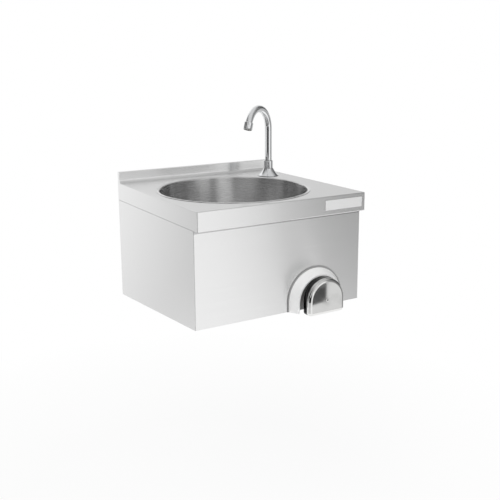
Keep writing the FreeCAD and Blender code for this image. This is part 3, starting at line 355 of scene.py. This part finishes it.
def card(name, corners, tone, distance):
    """A card that only mirrors see."""
    paint = bpy.data.materials.new(name)
    paint.use_nodes = True
    tree = paint.node_tree
    tree.nodes.clear()
    shine = add(tree, "Emission", Color=grey(tone), Strength=1.0)
    clear = add(tree, "BsdfTransparent")
    mirrored = add(tree, "LightPath").outputs["Is Glossy Ray"]
    mixed = add(tree, "MixShader", Fac=mirrored)
    wire(tree, clear.outputs[0], mixed.inputs[1])
    wire(tree, shine.outputs[0], mixed.inputs[2])
    add(tree, "OutputMaterial", Surface=mixed.outputs[0])
    stage_sheet(name, [through_the_pad(x, z, distance) for x, z in corners], paint)


screw = box_middle("pad_screw")
whole_face = [(pad_low.x, pad_low.z), (pad_high.x, pad_low.z),
              (pad_high.x, pad_high.z), (pad_low.x, pad_high.z)]
dark_top = pad_high.z - 6 * mm
dark_corner = [(pad_low.x, screw.z - 6 * mm), (screw.x - 3 * mm, screw.z - 2 * mm),
               (screw.x - 2 * mm, dark_top), (pad_low.x, dark_top)]
card("pale_card", whole_face, pale_tone, card_distance)
card("dark_card", dark_corner, dark_tone, card_distance - dark_card_ahead)
print("cards stand", card_distance, "m in front of the pad")

# %% [markdown]
# ## Surface effects that several finishes share
# Each effect is a small group of shader nodes with named inputs and one or two outputs: numbers
# or masks that change over the surface. The finish that uses a group decides what the mask does.

# %% Groups: grain, waves, wear and painted edge highlight, smudges, painted crease shade, pebbles
def new_group(name, sockets_in, sockets_out):
    """An empty shader group. Sockets are (name, kind, value) or (name, kind)."""
    group = bpy.data.node_groups.new(name, "ShaderNodeTree")
    for side, sockets in (("INPUT", sockets_in), ("OUTPUT", sockets_out)):
        for title, kind, *value in sockets:
            socket = group.interface.new_socket(
                title, in_out=side, socket_type="NodeSocket" + kind)
            if value:
                socket.default_value = value[0]
    entry = group.nodes.new("NodeGroupInput")
    exit_node = group.nodes.new("NodeGroupOutput")
    return group, entry.outputs, exit_node.inputs


def use(tree, group, **inputs):
    """Place a group in a material with its own values."""
    node = tree.nodes.new("ShaderNodeGroup")
    node.node_tree = group
    for name, value in inputs.items():
        wire(tree, value, node.inputs[name.replace("_", " ")])
    return node.outputs


def noise(tree, vector, scale, detail, roughness):
    """Cloudy noise between 0 and 1."""
    made = add(tree, "TexNoise", Vector=vector, Scale=scale, Detail=detail, Roughness=roughness)
    return made.outputs["Fac"]


grain_group, given, result = new_group(
    "brushed_grain",
    [("Vector", "Vector"), ("Length", "Float", 0.08), ("Width", "Float", 0.0004)],
    [("Fine", "Float"), ("Broad", "Float")])
long_step = calc(grain_group, "DIVIDE", 1.0, given["Length"])
wide_step = calc(grain_group, "DIVIDE", 1.0, given["Width"])
steps = add(grain_group, "CombineXYZ", X=long_step, Y=wide_step, Z=wide_step).outputs[0]
stretched = vector_calc(grain_group, "MULTIPLY", given["Vector"], steps)
wire(grain_group, noise(grain_group, stretched, 1.0, 3.0, 0.6), result["Fine"])
wire(grain_group, noise(grain_group, stretched, 0.13, 2.0, 0.5), result["Broad"])

wave_group, given, result = new_group(
    "sheet_waves", [("Vector", "Vector"), ("Size", "Float", 0.12)], [("Height", "Float")])
wave_scale = calc(wave_group, "DIVIDE", 1.0, given["Size"])
wire(wave_group, noise(wave_group, given["Vector"], wave_scale, 1.0, 0.4), result["Height"])

# Edges lighten in patches: partly wear, partly a painted highlight along the edge.
wear_and_sheen_group, given, result = new_group(
    "edge_wear_and_sheen",
    [("Vector", "Vector"), ("Radius", "Float", 0.0008), ("Patch Size", "Float", 0.02)],
    [("Mask", "Float")])
rounded = add(wear_and_sheen_group, "Bevel", Radius=given["Radius"]).outputs[0]
plain = add(wear_and_sheen_group, "NewGeometry").outputs["Normal"]
alike = vector_calc(wear_and_sheen_group, "DOT_PRODUCT", rounded, plain)
edge = fade(wear_and_sheen_group, alike, 0.995, 0.93)  # 1 is flat, less is the bend of an edge
patch_scale = calc(wear_and_sheen_group, "DIVIDE", 1.0, given["Patch Size"])
patches = noise(wear_and_sheen_group, given["Vector"], patch_scale, 3.0, 0.6)
wire(wear_and_sheen_group, calc(wear_and_sheen_group, "MULTIPLY", edge, patches, clamp=True), result["Mask"])

smudge_group, given, result = new_group(
    "smudges", [("Vector", "Vector"), ("Size", "Float", 0.03)], [("Mask", "Float")])
smudge_scale = calc(smudge_group, "DIVIDE", 1.0, given["Size"])
cloud = noise(smudge_group, given["Vector"], smudge_scale, 5.0, 0.62)
wire(smudge_group, fade(smudge_group, cloud, 0.45, 0.75), result["Mask"])

# Painted shade: where ambient occlusion finds a crease or recess, the mask marks it for darkening.
crease_shade_group, given, result = new_group("crease_shade", [("Reach", "Float", 0.006)], [("Mask", "Float")])
open_share = add(crease_shade_group, "AmbientOcclusion", Distance=given["Reach"]).outputs["AO"]
crease_shade_mask = fade(crease_shade_group, open_share, 0.85, 0.35)  # 1 is open, 0 is shut in
wire(crease_shade_group, crease_shade_mask, result["Mask"])

pebble_group, given, result = new_group(
    "pebbled_skin", [("Vector", "Vector"), ("Size", "Float", 0.0006)], [("Height", "Float")])
pebble_scale = calc(pebble_group, "DIVIDE", 1.0, given["Size"])
pebbles = add(pebble_group, "TexVoronoi", Vector=given["Vector"], Scale=pebble_scale)
wire(pebble_group, pebbles.outputs["Distance"], result["Height"])
print("shared effects:", [group.name for group in bpy.data.node_groups])

# %% [markdown]
# ## Brushed sheet
# The worktop and the casing are folded from one kind of sheet, brushed along its length with a
# belt. The brushing leaves thousands of fine scratches side by side, so a light in front of it
# smears into a band across the scratches. In the shader that smear is anisotropy, and its
# direction, the tangent, is square to the scratches. The scratches follow the sheet round its
# folds: along the front and the top they run in X, on the two sides in Y. The picture has a thin
# grey line of shade just under the rim. The tent leaves hardly any shade there, so the shade is
# painted into the finish, as a darker strip that is wider on the front than on the sides. Creases
# get painted shade as well, and edges a painted highlight on top of their wear.

# %% Brushed sheet steel
x_axis = (1.0, 0.0, 0.0)
y_axis = (0.0, 1.0, 0.0)
z_axis = (0.0, 0.0, 1.0)
rim_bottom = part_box("worktop")[0].z
front_shade_line = 6.5 * mm
side_shade_line = 0.6 * mm
shade_line_overlap = 0.3 * mm
shade_line_strength = 0.6
side_facing = 0.75
broad_share = 0.25
grain_depth = 0.002 * mm
worn_and_sheen_tone = 0.95
painted_shade_tone = 0.18
painted_shade_share = 0.7


def new_finish(name):
    """A material with one principled shader. Gives the material, its tree and the shader."""
    material = bpy.data.materials.new(name)
    material.use_nodes = True
    tree = material.node_tree
    shader = tree.nodes["Principled BSDF"]
    return material, tree, shader


def bump(tree, height, depth, normal=None):
    """Raise the surface by depth where the height is 1."""
    node = add(tree, "Bump", Height=height, Distance=depth, Strength=1.0)
    if normal:
        wire(tree, normal, node.inputs["Normal"])
    return node.outputs["Normal"]


def brushed(tree, shader, along, across_way, tones, roughness, stretch, waves,
            shade=0.0, metallic=1.0):
    """Fill in a brushed metal. along has the grain in its X, across_way is square to the grain."""
    spot = add(tree, "TexCoord").outputs["Object"]
    grain = use(tree, grain_group, Vector=along, Length=0.09, Width=0.0005)
    wear_and_sheen = use(tree, wear_and_sheen_group, Vector=spot)["Mask"]
    crease = use(tree, crease_shade_group, Reach=0.004)["Mask"]
    streaks = between(tree, broad_share, grain["Fine"], grain["Broad"])
    metal = tint(tree, streaks, grey(tones[0]), grey(tones[1]))
    # Edges lighten in patches: partly wear, partly a painted highlight.
    worn_and_sheen = tint(tree, wear_and_sheen, metal, grey(worn_and_sheen_tone))
    # Painted shade: creases and the strip under the rim are darkened towards the shade tone.
    painted_shade_colour = tint(tree, painted_shade_share, worn_and_sheen, grey(painted_shade_tone))
    shaded = calc(tree, "MAXIMUM", crease, shade)
    wire(tree, tint(tree, shaded, worn_and_sheen, painted_shade_colour), shader.inputs["Base Color"])
    shader.inputs["Metallic"].default_value = metallic
    dull = between(tree, streaks, roughness[0], roughness[1])
    wire(tree, dull, shader.inputs["Roughness"])
    shader.inputs["Anisotropic"].default_value = stretch
    wire(tree, across_way, shader.inputs["Tangent"])
    wave = use(tree, wave_group, Vector=spot)["Height"]
    waved = bump(tree, wave, waves)
    wire(tree, bump(tree, grain["Fine"], grain_depth, waved), shader.inputs["Normal"])


def sheet_finish():
    """The sheet of the worktop and the casing, with its grain turned on the two sides."""
    material, tree, shader = new_finish("brushed_sheet")
    spot = add(tree, "TexCoord").outputs["Object"]
    facing = add(tree, "NewGeometry").outputs["Normal"]
    sideways = calc(tree, "ABSOLUTE", add(tree, "SeparateXYZ", Vector=facing).outputs["X"])
    is_side = calc(tree, "GREATER_THAN", sideways, side_facing)
    parts = add(tree, "SeparateXYZ", Vector=spot).outputs
    swapped = add(tree, "CombineXYZ", X=parts["Y"], Y=parts["X"], Z=parts["Z"]).outputs[0]
    along = tint(tree, is_side, spot, swapped)
    grain_way = tint(tree, is_side, (*x_axis, 1), (*y_axis, 1))
    across = vector_calc(tree, "CROSS_PRODUCT", facing, grain_way)
    # Painted shade line: a strip just under the rim is darkened, wider on the front than on the
    # sides.
    shade_line_from = between(tree, is_side, rim_bottom - front_shade_line, rim_bottom - side_shade_line)
    painted_shade_under_rim = calc(tree, "MULTIPLY", calc(tree, "GREATER_THAN", parts["Z"], shade_line_from),
                     calc(tree, "LESS_THAN", parts["Z"], rim_bottom + shade_line_overlap))
    brushed(tree, shader, along, across, tones=(0.83, 0.97), roughness=(0.23, 0.29), stretch=1.0,
            waves=0.04 * mm, shade=calc(tree, "MULTIPLY", painted_shade_under_rim, shade_line_strength))
    return material


finishes = {"brushed_sheet": sheet_finish()}
print("finishes so far:", list(finishes))

# %% [markdown]
# ## Spun bowl
# The bowl is pressed and then polished while it spins, so its scratches are rings round its own
# axis. Reflections smear up and down the wall, which draws the light and dark stripes that run
# from the lip to the floor. The grain is laid out in turns: distance from the axis, height, and
# only a little of the angle.

# %% Spun bowl steel
ring_stretch = 0.05


def spun_finish(name, middle, tones, roughness, stretch, waves):
    """A metal whose grain runs in rings round an upright axis."""
    material, tree, shader = new_finish(name)
    spot = add(tree, "TexCoord").outputs["Object"]
    arm = vector_calc(tree, "SUBTRACT", spot, (middle.x, middle.y, 0.0))
    parts = add(tree, "SeparateXYZ", Vector=arm).outputs
    flat = add(tree, "CombineXYZ", X=parts["X"], Y=parts["Y"]).outputs[0]
    distance = vector_calc(tree, "LENGTH", flat)
    angle = calc(tree, "ARCTAN2", parts["Y"], parts["X"])
    turned_way = calc(tree, "MULTIPLY", angle, ring_stretch)
    along = add(tree, "CombineXYZ", X=turned_way, Y=distance, Z=parts["Z"]).outputs[0]
    facing = add(tree, "NewGeometry").outputs["Normal"]
    ring_way = vector_calc(tree, "CROSS_PRODUCT", z_axis, flat)
    across = vector_calc(tree, "CROSS_PRODUCT", facing, ring_way)
    brushed(tree, shader, along, across, tones, roughness, stretch, waves)
    return material


finishes["bowl_steel"] = spun_finish(
    "bowl_steel", box_middle("bowl"), tones=(0.72, 0.79), roughness=(0.25, 0.29), stretch=1.0,
    waves=0.05 * mm)
print("the bowl's rings run round", [round(value, 4) for value in box_middle("bowl")[:2]])

# %% [markdown]
# ## Bright metals
# The tap is chrome plated brass, the knee pad and its collar are polished steel. Both are
# almost mirrors. What tells them from a perfect mirror is small: a breath of haze, finger marks
# that dull it in patches, and the slight waves that hand polishing leaves. Deep in a crease no
# light comes in, so shade is painted there and the metal goes dark. Edges are lighter in patches,
# partly from wear and partly as a painted highlight. The tap and the pad's screw look a little
# milky in the picture, so a share of their shader isn't metal and scatters the light.

# %% Chrome and polished steel
finger_marks = 0.93
rubbed_and_sheen_tone = 0.92
painted_crease_shade_tone = 0.04


def bright_finish(name, colour, roughness, haze, waves, wave_size, pores=0.0, gap=0.004):
    """A bright metal. Haze is its roughness under finger marks, pores is the share of light that
    its milky skin scatters, and gap is how wide a crease may be and still get painted shade."""
    material, tree, shader = new_finish(name)
    spot = add(tree, "TexCoord").outputs["Object"]
    marks = use(tree, smudge_group, Vector=spot, Size=0.035)["Mask"]
    wear_and_sheen = use(tree, wear_and_sheen_group, Vector=spot, Radius=0.0005)["Mask"]
    crease = use(tree, crease_shade_group, Reach=gap)["Mask"]
    dim = tuple(value * finger_marks for value in colour)
    metal = tint(tree, marks, (*colour, 1), (*dim, 1))
    # Edges lighten in patches: partly wear, partly a painted highlight.
    bright = tint(tree, wear_and_sheen, metal, grey(rubbed_and_sheen_tone))
    # Painted shade: creases are darkened almost to black.
    wire(tree, tint(tree, crease, bright, grey(painted_crease_shade_tone)), shader.inputs["Base Color"])
    shader.inputs["Metallic"].default_value = 1.0 - pores
    dull = between(tree, marks, roughness, haze)
    wire(tree, dull, shader.inputs["Roughness"])
    wave = use(tree, wave_group, Vector=spot, Size=wave_size)["Height"]
    wire(tree, bump(tree, wave, waves), shader.inputs["Normal"])
    return material


bright_metals = {
    "tap_chrome": {"colour": (0.90, 0.91, 0.92), "roughness": 0.03, "haze": 0.07,
                   "waves": 0.005 * mm, "wave_size": 30 * mm, "pores": 0.12},
    "polished_steel": {"colour": (0.84, 0.84, 0.83), "roughness": 0.06, "haze": 0.13,
                       "waves": 0.03 * mm, "wave_size": 30 * mm, "gap": 6 * mm},
    "fastener_steel": {"colour": (0.82, 0.82, 0.81), "roughness": 0.18, "haze": 0.32,
                       "waves": 0.01 * mm, "wave_size": 6 * mm, "pores": 0.40, "gap": 5 * mm},
    "spring_steel": {"colour": (0.52, 0.52, 0.53), "roughness": 0.22, "haze": 0.38,
                     "waves": 0.01 * mm, "wave_size": 4 * mm},
    "supply_steel": {"colour": (0.68, 0.68, 0.67), "roughness": 0.14, "haze": 0.30,
                     "waves": 0.02 * mm, "wave_size": 20 * mm},
}
for name, values in bright_metals.items():
    finishes[name] = bright_finish(name, **values)
print("bright metals:", list(bright_metals))

# %% [markdown]
# ## The satin collar of the knee pad
# Beside the mirror of the pad, the collar looks soft and nearly white in the picture, as if it
# had been blasted with fine beads. The two share a finish in the record, so depth tells them
# apart: everything behind the pad's back gets the blasted skin. The gap between them is almost
# black in the picture, and that shade is painted into the finish too. The painted shade covers
# the pad's flank behind its rounded edge, and the collar's inner wall, whose face points to the
# arch's middle.

# %% Blast the collar and paint shade into the gap
flank_from = pad_low.y + 10.5 * mm
flank_soft = 2.5 * mm
painted_gap_tone = 0.03
skin_white = 0.75
skin_metallic = 0.12
skin_roughness = (0.36, 0.46)
collar_low, collar_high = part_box("knee_shroud")
arch_x = (collar_low.x + collar_high.x) / 2
arch_z = collar_high.z - (collar_high.x - collar_low.x) / 2
tree = finishes["polished_steel"].node_tree
shader = tree.nodes["Principled BSDF"]
spot = add(tree, "TexCoord").outputs["Object"]
depth = add(tree, "SeparateXYZ", Vector=spot).outputs["Y"]
blasted = calc(tree, "GREATER_THAN", depth, (pad_high.y + collar_low.y) / 2)
flank = window(tree, depth, flank_from, pad_high.y, flank_soft)
from_arch = vector_calc(tree, "SUBTRACT", spot, (arch_x, 0.0, arch_z))
upright_arm = vector_calc(tree, "MULTIPLY", from_arch, (1.0, 0.0, 1.0))
outward = vector_calc(tree, "NORMALIZE", upright_arm)
facing = add(tree, "NewGeometry").outputs["Normal"]
facing_out = vector_calc(tree, "DOT_PRODUCT", facing, outward)
inner_wall = fade(tree, facing_out, -0.3, -0.6)
# Painted shade in the gap: the pad's flank and the collar's inner wall are darkened almost to
# black.
painted_gap_shade = calc(tree, "MAXIMUM", flank, calc(tree, "MULTIPLY", blasted, inner_wall))
polished_tone = shader.inputs["Base Color"].links[0].from_socket
polished_dull = shader.inputs["Roughness"].links[0].from_socket
beads = use(tree, pebble_group, Vector=spot, Size=0.0003)["Height"]
bead_dull = between(tree, beads, *skin_roughness)
white_skin = tint(tree, calc(tree, "MULTIPLY", blasted, skin_white), polished_tone, grey(1.0))
wire(tree, tint(tree, painted_gap_shade, white_skin, grey(painted_gap_tone)), shader.inputs["Base Color"])
wire(tree, between(tree, blasted, polished_dull, bead_dull), shader.inputs["Roughness"])
wire(tree, between(tree, blasted, 1.0, skin_metallic), shader.inputs["Metallic"])
print("collar blasted from y =", round(collar_low.y, 4))

# %% [markdown]
# ## Plain mill sheet and the nameplate
# The rail and the crossbar are hidden, so their sheet is left as it comes from the mill: greyer,
# with a faint long grain. The nameplate is paler than the apron in the picture, so only a share
# of its shader is metal, and the rest scatters the light like paper does. It stays bare.

# %% Mill sheet and satin plate
def plain_sheet_finish(name, tones, roughness, stretch, metallic=1.0):
    """Sheet with its grain along X on every face."""
    material, tree, shader = new_finish(name)
    spot = add(tree, "TexCoord").outputs["Object"]
    facing = add(tree, "NewGeometry").outputs["Normal"]
    across = vector_calc(tree, "CROSS_PRODUCT", facing, x_axis)
    brushed(tree, shader, spot, across, tones, roughness, stretch, waves=0.1 * mm,
            metallic=metallic)
    return material


finishes["mill_steel"] = plain_sheet_finish(
    "mill_steel", tones=(0.50, 0.62), roughness=(0.34, 0.46), stretch=0.4)
finishes["nameplate_metal"] = plain_sheet_finish(
    "nameplate_metal", tones=(0.86, 0.96), roughness=(0.30, 0.38), stretch=0.5, metallic=0.35)
print("finishes so far:", len(finishes))

# %% [markdown]
# ## Brass
# The valve is cast: its skin is grainy from the sand mould and tarnished brown in patches. The
# nuts and the gland are turned from bar, so they are brighter and smoother.

# %% Brass finishes
rubbed_and_sheen_brass = (0.92, 0.78, 0.48, 1)


def brass_finish(name, bright, dark, roughness, skin_depth, skin_size):
    """Brass that is tarnished to the dark tone in patches, with a pebbled skin."""
    material, tree, shader = new_finish(name)
    spot = add(tree, "TexCoord").outputs["Object"]
    tarnish = use(tree, smudge_group, Vector=spot, Size=0.018)["Mask"]
    wear_and_sheen = use(tree, wear_and_sheen_group, Vector=spot, Radius=0.0006, Patch_Size=0.01)["Mask"]
    metal = tint(tree, tarnish, (*bright, 1), (*dark, 1))
    # Edges lighten in patches: partly wear, partly a painted highlight.
    wire(tree, tint(tree, wear_and_sheen, metal, rubbed_and_sheen_brass), shader.inputs["Base Color"])
    shader.inputs["Metallic"].default_value = 1.0
    wire(tree, between(tree, tarnish, roughness[0], roughness[1]), shader.inputs["Roughness"])
    skin = use(tree, pebble_group, Vector=spot, Size=skin_size)["Height"]
    wire(tree, bump(tree, skin, skin_depth), shader.inputs["Normal"])
    return material


brasses = {
    "cast_brass": {"bright": (0.70, 0.52, 0.26), "dark": (0.46, 0.32, 0.17),
                   "roughness": (0.34, 0.55), "skin_depth": 0.12 * mm, "skin_size": 1.1 * mm},
    "turned_brass": {"bright": (0.83, 0.65, 0.34), "dark": (0.66, 0.48, 0.24),
                     "roughness": (0.16, 0.30), "skin_depth": 0.01 * mm, "skin_size": 0.5 * mm},
}
for name, values in brasses.items():
    finishes[name] = brass_finish(name, **values)
print("brasses:", list(brasses))

# %% [markdown]
# ## Rubber and plastics
# Gaskets are black rubber with a fine matt skin. The waste is moulded in dark plastic, the
# small inserts in white. All three are insulators, so their colour is a little uneven and their
# shine soft. Only one seal shows from outside, round the knee collar. It is grey in the picture,
# so the rubber is drawn greyer where it stands in front of the panel.

# %% Rubber and plastic finishes
panel_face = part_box("shroud_gasket")[1].y
outside_reach = 3 * mm
outside_soft = 0.5 * mm
outside_grey = 0.55


def moulded_finish(name, colour, pale, roughness, skin_depth, skin_size, grey_outside=0.0):
    """A plastic or rubber. grey_outside is how far it turns grey in front of the panel."""
    material, tree, shader = new_finish(name)
    spot = add(tree, "TexCoord").outputs["Object"]
    dust = use(tree, smudge_group, Vector=spot, Size=0.012)["Mask"]
    wear_and_sheen = use(tree, wear_and_sheen_group, Vector=spot, Radius=0.0005, Patch_Size=0.006)["Mask"]
    skin = use(tree, pebble_group, Vector=spot, Size=skin_size)["Height"]
    base = tint(tree, dust, (*colour, 1), (*pale, 1))
    if grey_outside:
        depth = add(tree, "SeparateXYZ", Vector=spot).outputs["Y"]
        outside = window(tree, depth, panel_face - outside_reach, panel_face, outside_soft)
        greyed = calc(tree, "MULTIPLY", outside, grey_outside)
        base = tint(tree, greyed, base, grey(outside_grey))
    # Edges take the pale tone in patches: partly wear, partly a painted highlight.
    wire(tree, tint(tree, wear_and_sheen, base, (*pale, 1)), shader.inputs["Base Color"])
    wire(tree, between(tree, dust, roughness[0], roughness[1]), shader.inputs["Roughness"])
    wire(tree, bump(tree, skin, skin_depth), shader.inputs["Normal"])
    return material


mouldings = {
    "black_rubber": {"colour": (0.045, 0.045, 0.045), "pale": (0.09, 0.09, 0.088),
                     "roughness": (0.55, 0.72), "skin_depth": 0.03 * mm, "skin_size": 0.4 * mm,
                     "grey_outside": 0.55},
    "waste_plastic": {"colour": (0.05, 0.05, 0.055), "pale": (0.09, 0.09, 0.09),
                      "roughness": (0.38, 0.55), "skin_depth": 0.04 * mm, "skin_size": 0.7 * mm},
    "white_plastic": {"colour": (0.82, 0.82, 0.80), "pale": (0.74, 0.74, 0.70),
                      "roughness": (0.32, 0.48), "skin_depth": 0.01 * mm, "skin_size": 0.5 * mm},
}
for name, values in mouldings.items():
    finishes[name] = moulded_finish(name, **values)
print("mouldings:", list(mouldings))

# %% [markdown]
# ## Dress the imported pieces
# The record says which finish each piece has. The piece keeps its mesh, and only the material
# in its slot changes.

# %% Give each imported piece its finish
for part in frame["record"]["subparts"]:
    piece = frame["nodes"][part["node"]]
    piece.data.materials.clear()
    piece.data.materials.append(finishes[part["material_slot"]])

# %% [markdown]
# ## A bare nameplate with a raised border
# The workshop's plate is a plain thin sheet. Plates like it are usually embossed: a border stands
# up round a sunk field, and its edge is rolled over. The profile is a short list of steps, each
# an inset from the outline and a height over the apron, in millimetres. The field stays empty.

# %% Emboss the nameplate
arc_steps = 6


def rounded_outline(x0, x1, z0, z1, radius):
    """Points round a rectangle with rounded corners, anticlockwise seen from the front."""
    points = []
    corners = ((x1 - radius, z0 + radius, -90), (x1 - radius, z1 - radius, 0),
               (x0 + radius, z1 - radius, 90), (x0 + radius, z0 + radius, 180))
    for x, z, start in corners:
        for step in range(arc_steps + 1):
            angle = math.radians(start + 90 * step / arc_steps)
            points.append((x + radius * math.cos(angle), z + radius * math.sin(angle)))
    return points


def put_in_scene(name, mesh, body, slot):
    """Show a finished mesh that rides a body and takes a finish from the record."""
    mesh.name = name
    mesh.materials.clear()
    mesh.materials.append(finishes[slot])
    piece = bpy.data.objects.new(name, mesh)
    bpy.context.scene.collection.objects.link(piece)
    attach(piece, body)
    return piece


plate_low, plate_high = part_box("nameplate")
plate_corner = 1.5 * mm
plate_steps = [(0.0, 0.0), (0.0, 0.62), (0.18, 0.80), (0.85, 0.80), (1.05, 0.55)]
shape = bmesh.new()
rings = []
for inset, height in plate_steps:
    inset *= mm
    outline = rounded_outline(plate_low.x + inset, plate_high.x - inset, plate_low.z + inset,
                              plate_high.z - inset, plate_corner - inset)
    rings.append([shape.verts.new((x, plate_high.y - height * mm, z)) for x, z in outline])
for outer, inner in zip(rings, rings[1:]):
    for here in range(len(outer)):
        after = (here + 1) % len(outer)
        shape.faces.new((outer[here], outer[after], inner[after], inner[here]))
shape.faces.new(rings[-1])
shape.faces.new(rings[0][::-1])
bmesh.ops.recalc_face_normals(shape, faces=shape.faces)
plate_mesh = bpy.data.meshes.new("bare_nameplate")
shape.to_mesh(plate_mesh)
shape.free()
plate = put_in_scene("bare_nameplate", plate_mesh, "basin", "nameplate_metal")
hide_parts("nameplate")
print("nameplate has", len(plate_mesh.polygons), "faces")

# %% [markdown]
# ## Screw threads
# Four places carry a pipe thread: the two inlets, the waste and the shank of the tap. In the
# workshop's model they are plain cylinders. A thread is one ridge wound round the cylinder, which
# is just what Geometry Nodes is good at: a spiral for the path, a small triangle for the section,
# and one sweep. The same group makes all four with other numbers.

# %% Group: a ridge wound round a cylinder
threads = bpy.data.node_groups.new("thread_ridge", "GeometryNodeTree")
thread_inputs = {}
for name, kind in (("Radius", "Float"), ("Length", "Float"), ("Pitch", "Float"),
                   ("Ridge", "Float"), ("Steps", "Int"), ("Finish", "Material")):
    socket = threads.interface.new_socket(name, in_out="INPUT", socket_type="NodeSocket" + kind)
    thread_inputs[name] = socket.identifier
threads.interface.new_socket("Thread", in_out="OUTPUT", socket_type="NodeSocketGeometry")


def geometry_node(kind, **inputs):
    """Add a node to the thread group. An input's name is written with _ for each space."""
    node = threads.nodes.new(kind)
    for name, value in inputs.items():
        wire(threads, value, node.inputs[name.replace("_", " ")])
    return node


given = threads.nodes.new("NodeGroupInput").outputs
turns = calc(threads, "DIVIDE", given["Length"], given["Pitch"])
path = geometry_node("GeometryNodeCurveSpiral", Resolution=given["Steps"], Rotations=turns,
                     Start_Radius=given["Radius"], End_Radius=given["Radius"],
                     Height=given["Length"])
section = geometry_node("GeometryNodeCurvePrimitiveCircle", Resolution=3, Radius=given["Ridge"])
swept = geometry_node("GeometryNodeCurveToMesh", Curve=path.outputs[0],
                      Profile_Curve=section.outputs[0], Fill_Caps=True)
real = geometry_node("GeometryNodeRealizeInstances", Geometry=swept.outputs[0])
coated = geometry_node("GeometryNodeSetMaterial", Geometry=real.outputs[0],
                       Material=given["Finish"])
wire(threads, coated.outputs[0], threads.nodes.new("NodeGroupOutput").inputs[0])
print("thread group has the inputs", list(thread_inputs))

# %% [markdown]
# The record states the threaded ends as pins with a place, a direction, a radius and a length, so
# the ridges take their numbers from there. Pipe threads of this size have 14 turns to the inch,
# the wider waste has 11. Only the tap's shank isn't a pin: its thread runs from just above the
# union to the nut.

# %% Wind the threads
inch = 25.4 * mm
ridge = 0.22 * mm
steps_per_turn = 64
bare_ends_mm = 2.0
shank_radius = 10 * mm
above_union = 2 * mm
small_pipe_turns = 14
waste_pipe_turns = 11
thread_weld = 1e-7


def wind_thread(name, middle, axis, radius, length, per_inch, slot):
    """One ridge round a cylinder whose middle and direction are given."""
    blank = bpy.data.objects.new(name, bpy.data.meshes.new(name))
    bpy.context.scene.collection.objects.link(blank)
    modifier = blank.modifiers.new("thread", "NODES")
    modifier.node_group = threads
    values = {"Radius": radius, "Length": length, "Pitch": inch / per_inch, "Ridge": ridge,
              "Steps": steps_per_turn, "Finish": finishes[slot]}
    for key, value in values.items():
        modifier[thread_inputs[key]] = value
    made = blank.evaluated_get(bpy.context.evaluated_depsgraph_get())
    mesh = bpy.data.meshes.new_from_object(made)
    bpy.data.objects.remove(blank)
    upright = Vector(z_axis).rotation_difference(Vector(axis)).to_matrix().to_4x4()
    start = Vector(middle) - Vector(axis) * length / 2
    mesh.transform(Matrix.Translation(start) @ upright)
    shape = bmesh.new()
    shape.from_mesh(mesh)
    bmesh.ops.remove_doubles(shape, verts=shape.verts, dist=thread_weld)
    bmesh.ops.recalc_face_normals(shape, faces=shape.faces)
    shape.to_mesh(mesh)
    shape.free()
    print(name, "has", len(mesh.polygons), "faces")
    put_in_scene(name, mesh, "basin", slot)


thread_slots = {"hot_inlet": ("turned_brass", small_pipe_turns),
                "cold_inlet": ("turned_brass", small_pipe_turns),
                "waste_outlet": ("waste_plastic", waste_pipe_turns)}
for mount in frame["record"]["mounts"]:
    if mount["name"] in thread_slots:
        slot, per_inch = thread_slots[mount["name"]]
        length = (mount["dims"]["length_mm"] - bare_ends_mm) * mm
        wind_thread(mount["name"] + "_thread", mount["pos_m"], mount["axis"],
                    mount["dims"]["r_mm"] * mm, length, per_inch, slot)
shank_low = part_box("supply_nuts")[1].z + above_union
shank_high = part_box("shank_nut")[0].z
tap_middle = box_middle("tap_base")
shank_middle = (tap_middle.x, tap_middle.y, (shank_low + shank_high) / 2)
wind_thread("shank_thread", shank_middle, z_axis, shank_radius, shank_high - shank_low,
            small_pipe_turns, "tap_chrome")

# %% [markdown]
# ## The return spring
# The spring stands between the valve's cap and the disc on the stem, and gives way by the whole
# stroke of the knee pad. A copy of the workshop's spring stands in its place, with its doubled
# points welded and its faces shaded smooth.

# %% Copy the spring
coil_weld = 1e-6
coils = bmesh.new()
coils.from_mesh(frame["nodes"]["return_spring"].data)
bmesh.ops.remove_doubles(coils, verts=coils.verts, dist=coil_weld)
for face in coils.faces:
    face.smooth = True
coil_mesh = bpy.data.meshes.new("giving_spring")
coils.to_mesh(coil_mesh)
coils.free()
giving_spring = put_in_scene("giving_spring", coil_mesh, "basin", "spring_steel")
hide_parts("return_spring")
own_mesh(giving_spring)

# %% [markdown]
# ## View transform
# The render uses the Standard view transform.
# The dressed model may not outgrow the workshop's. Both boxes are written down to compare.

# %% Set the view transform
bpy.context.scene.view_settings.view_transform = "Standard"
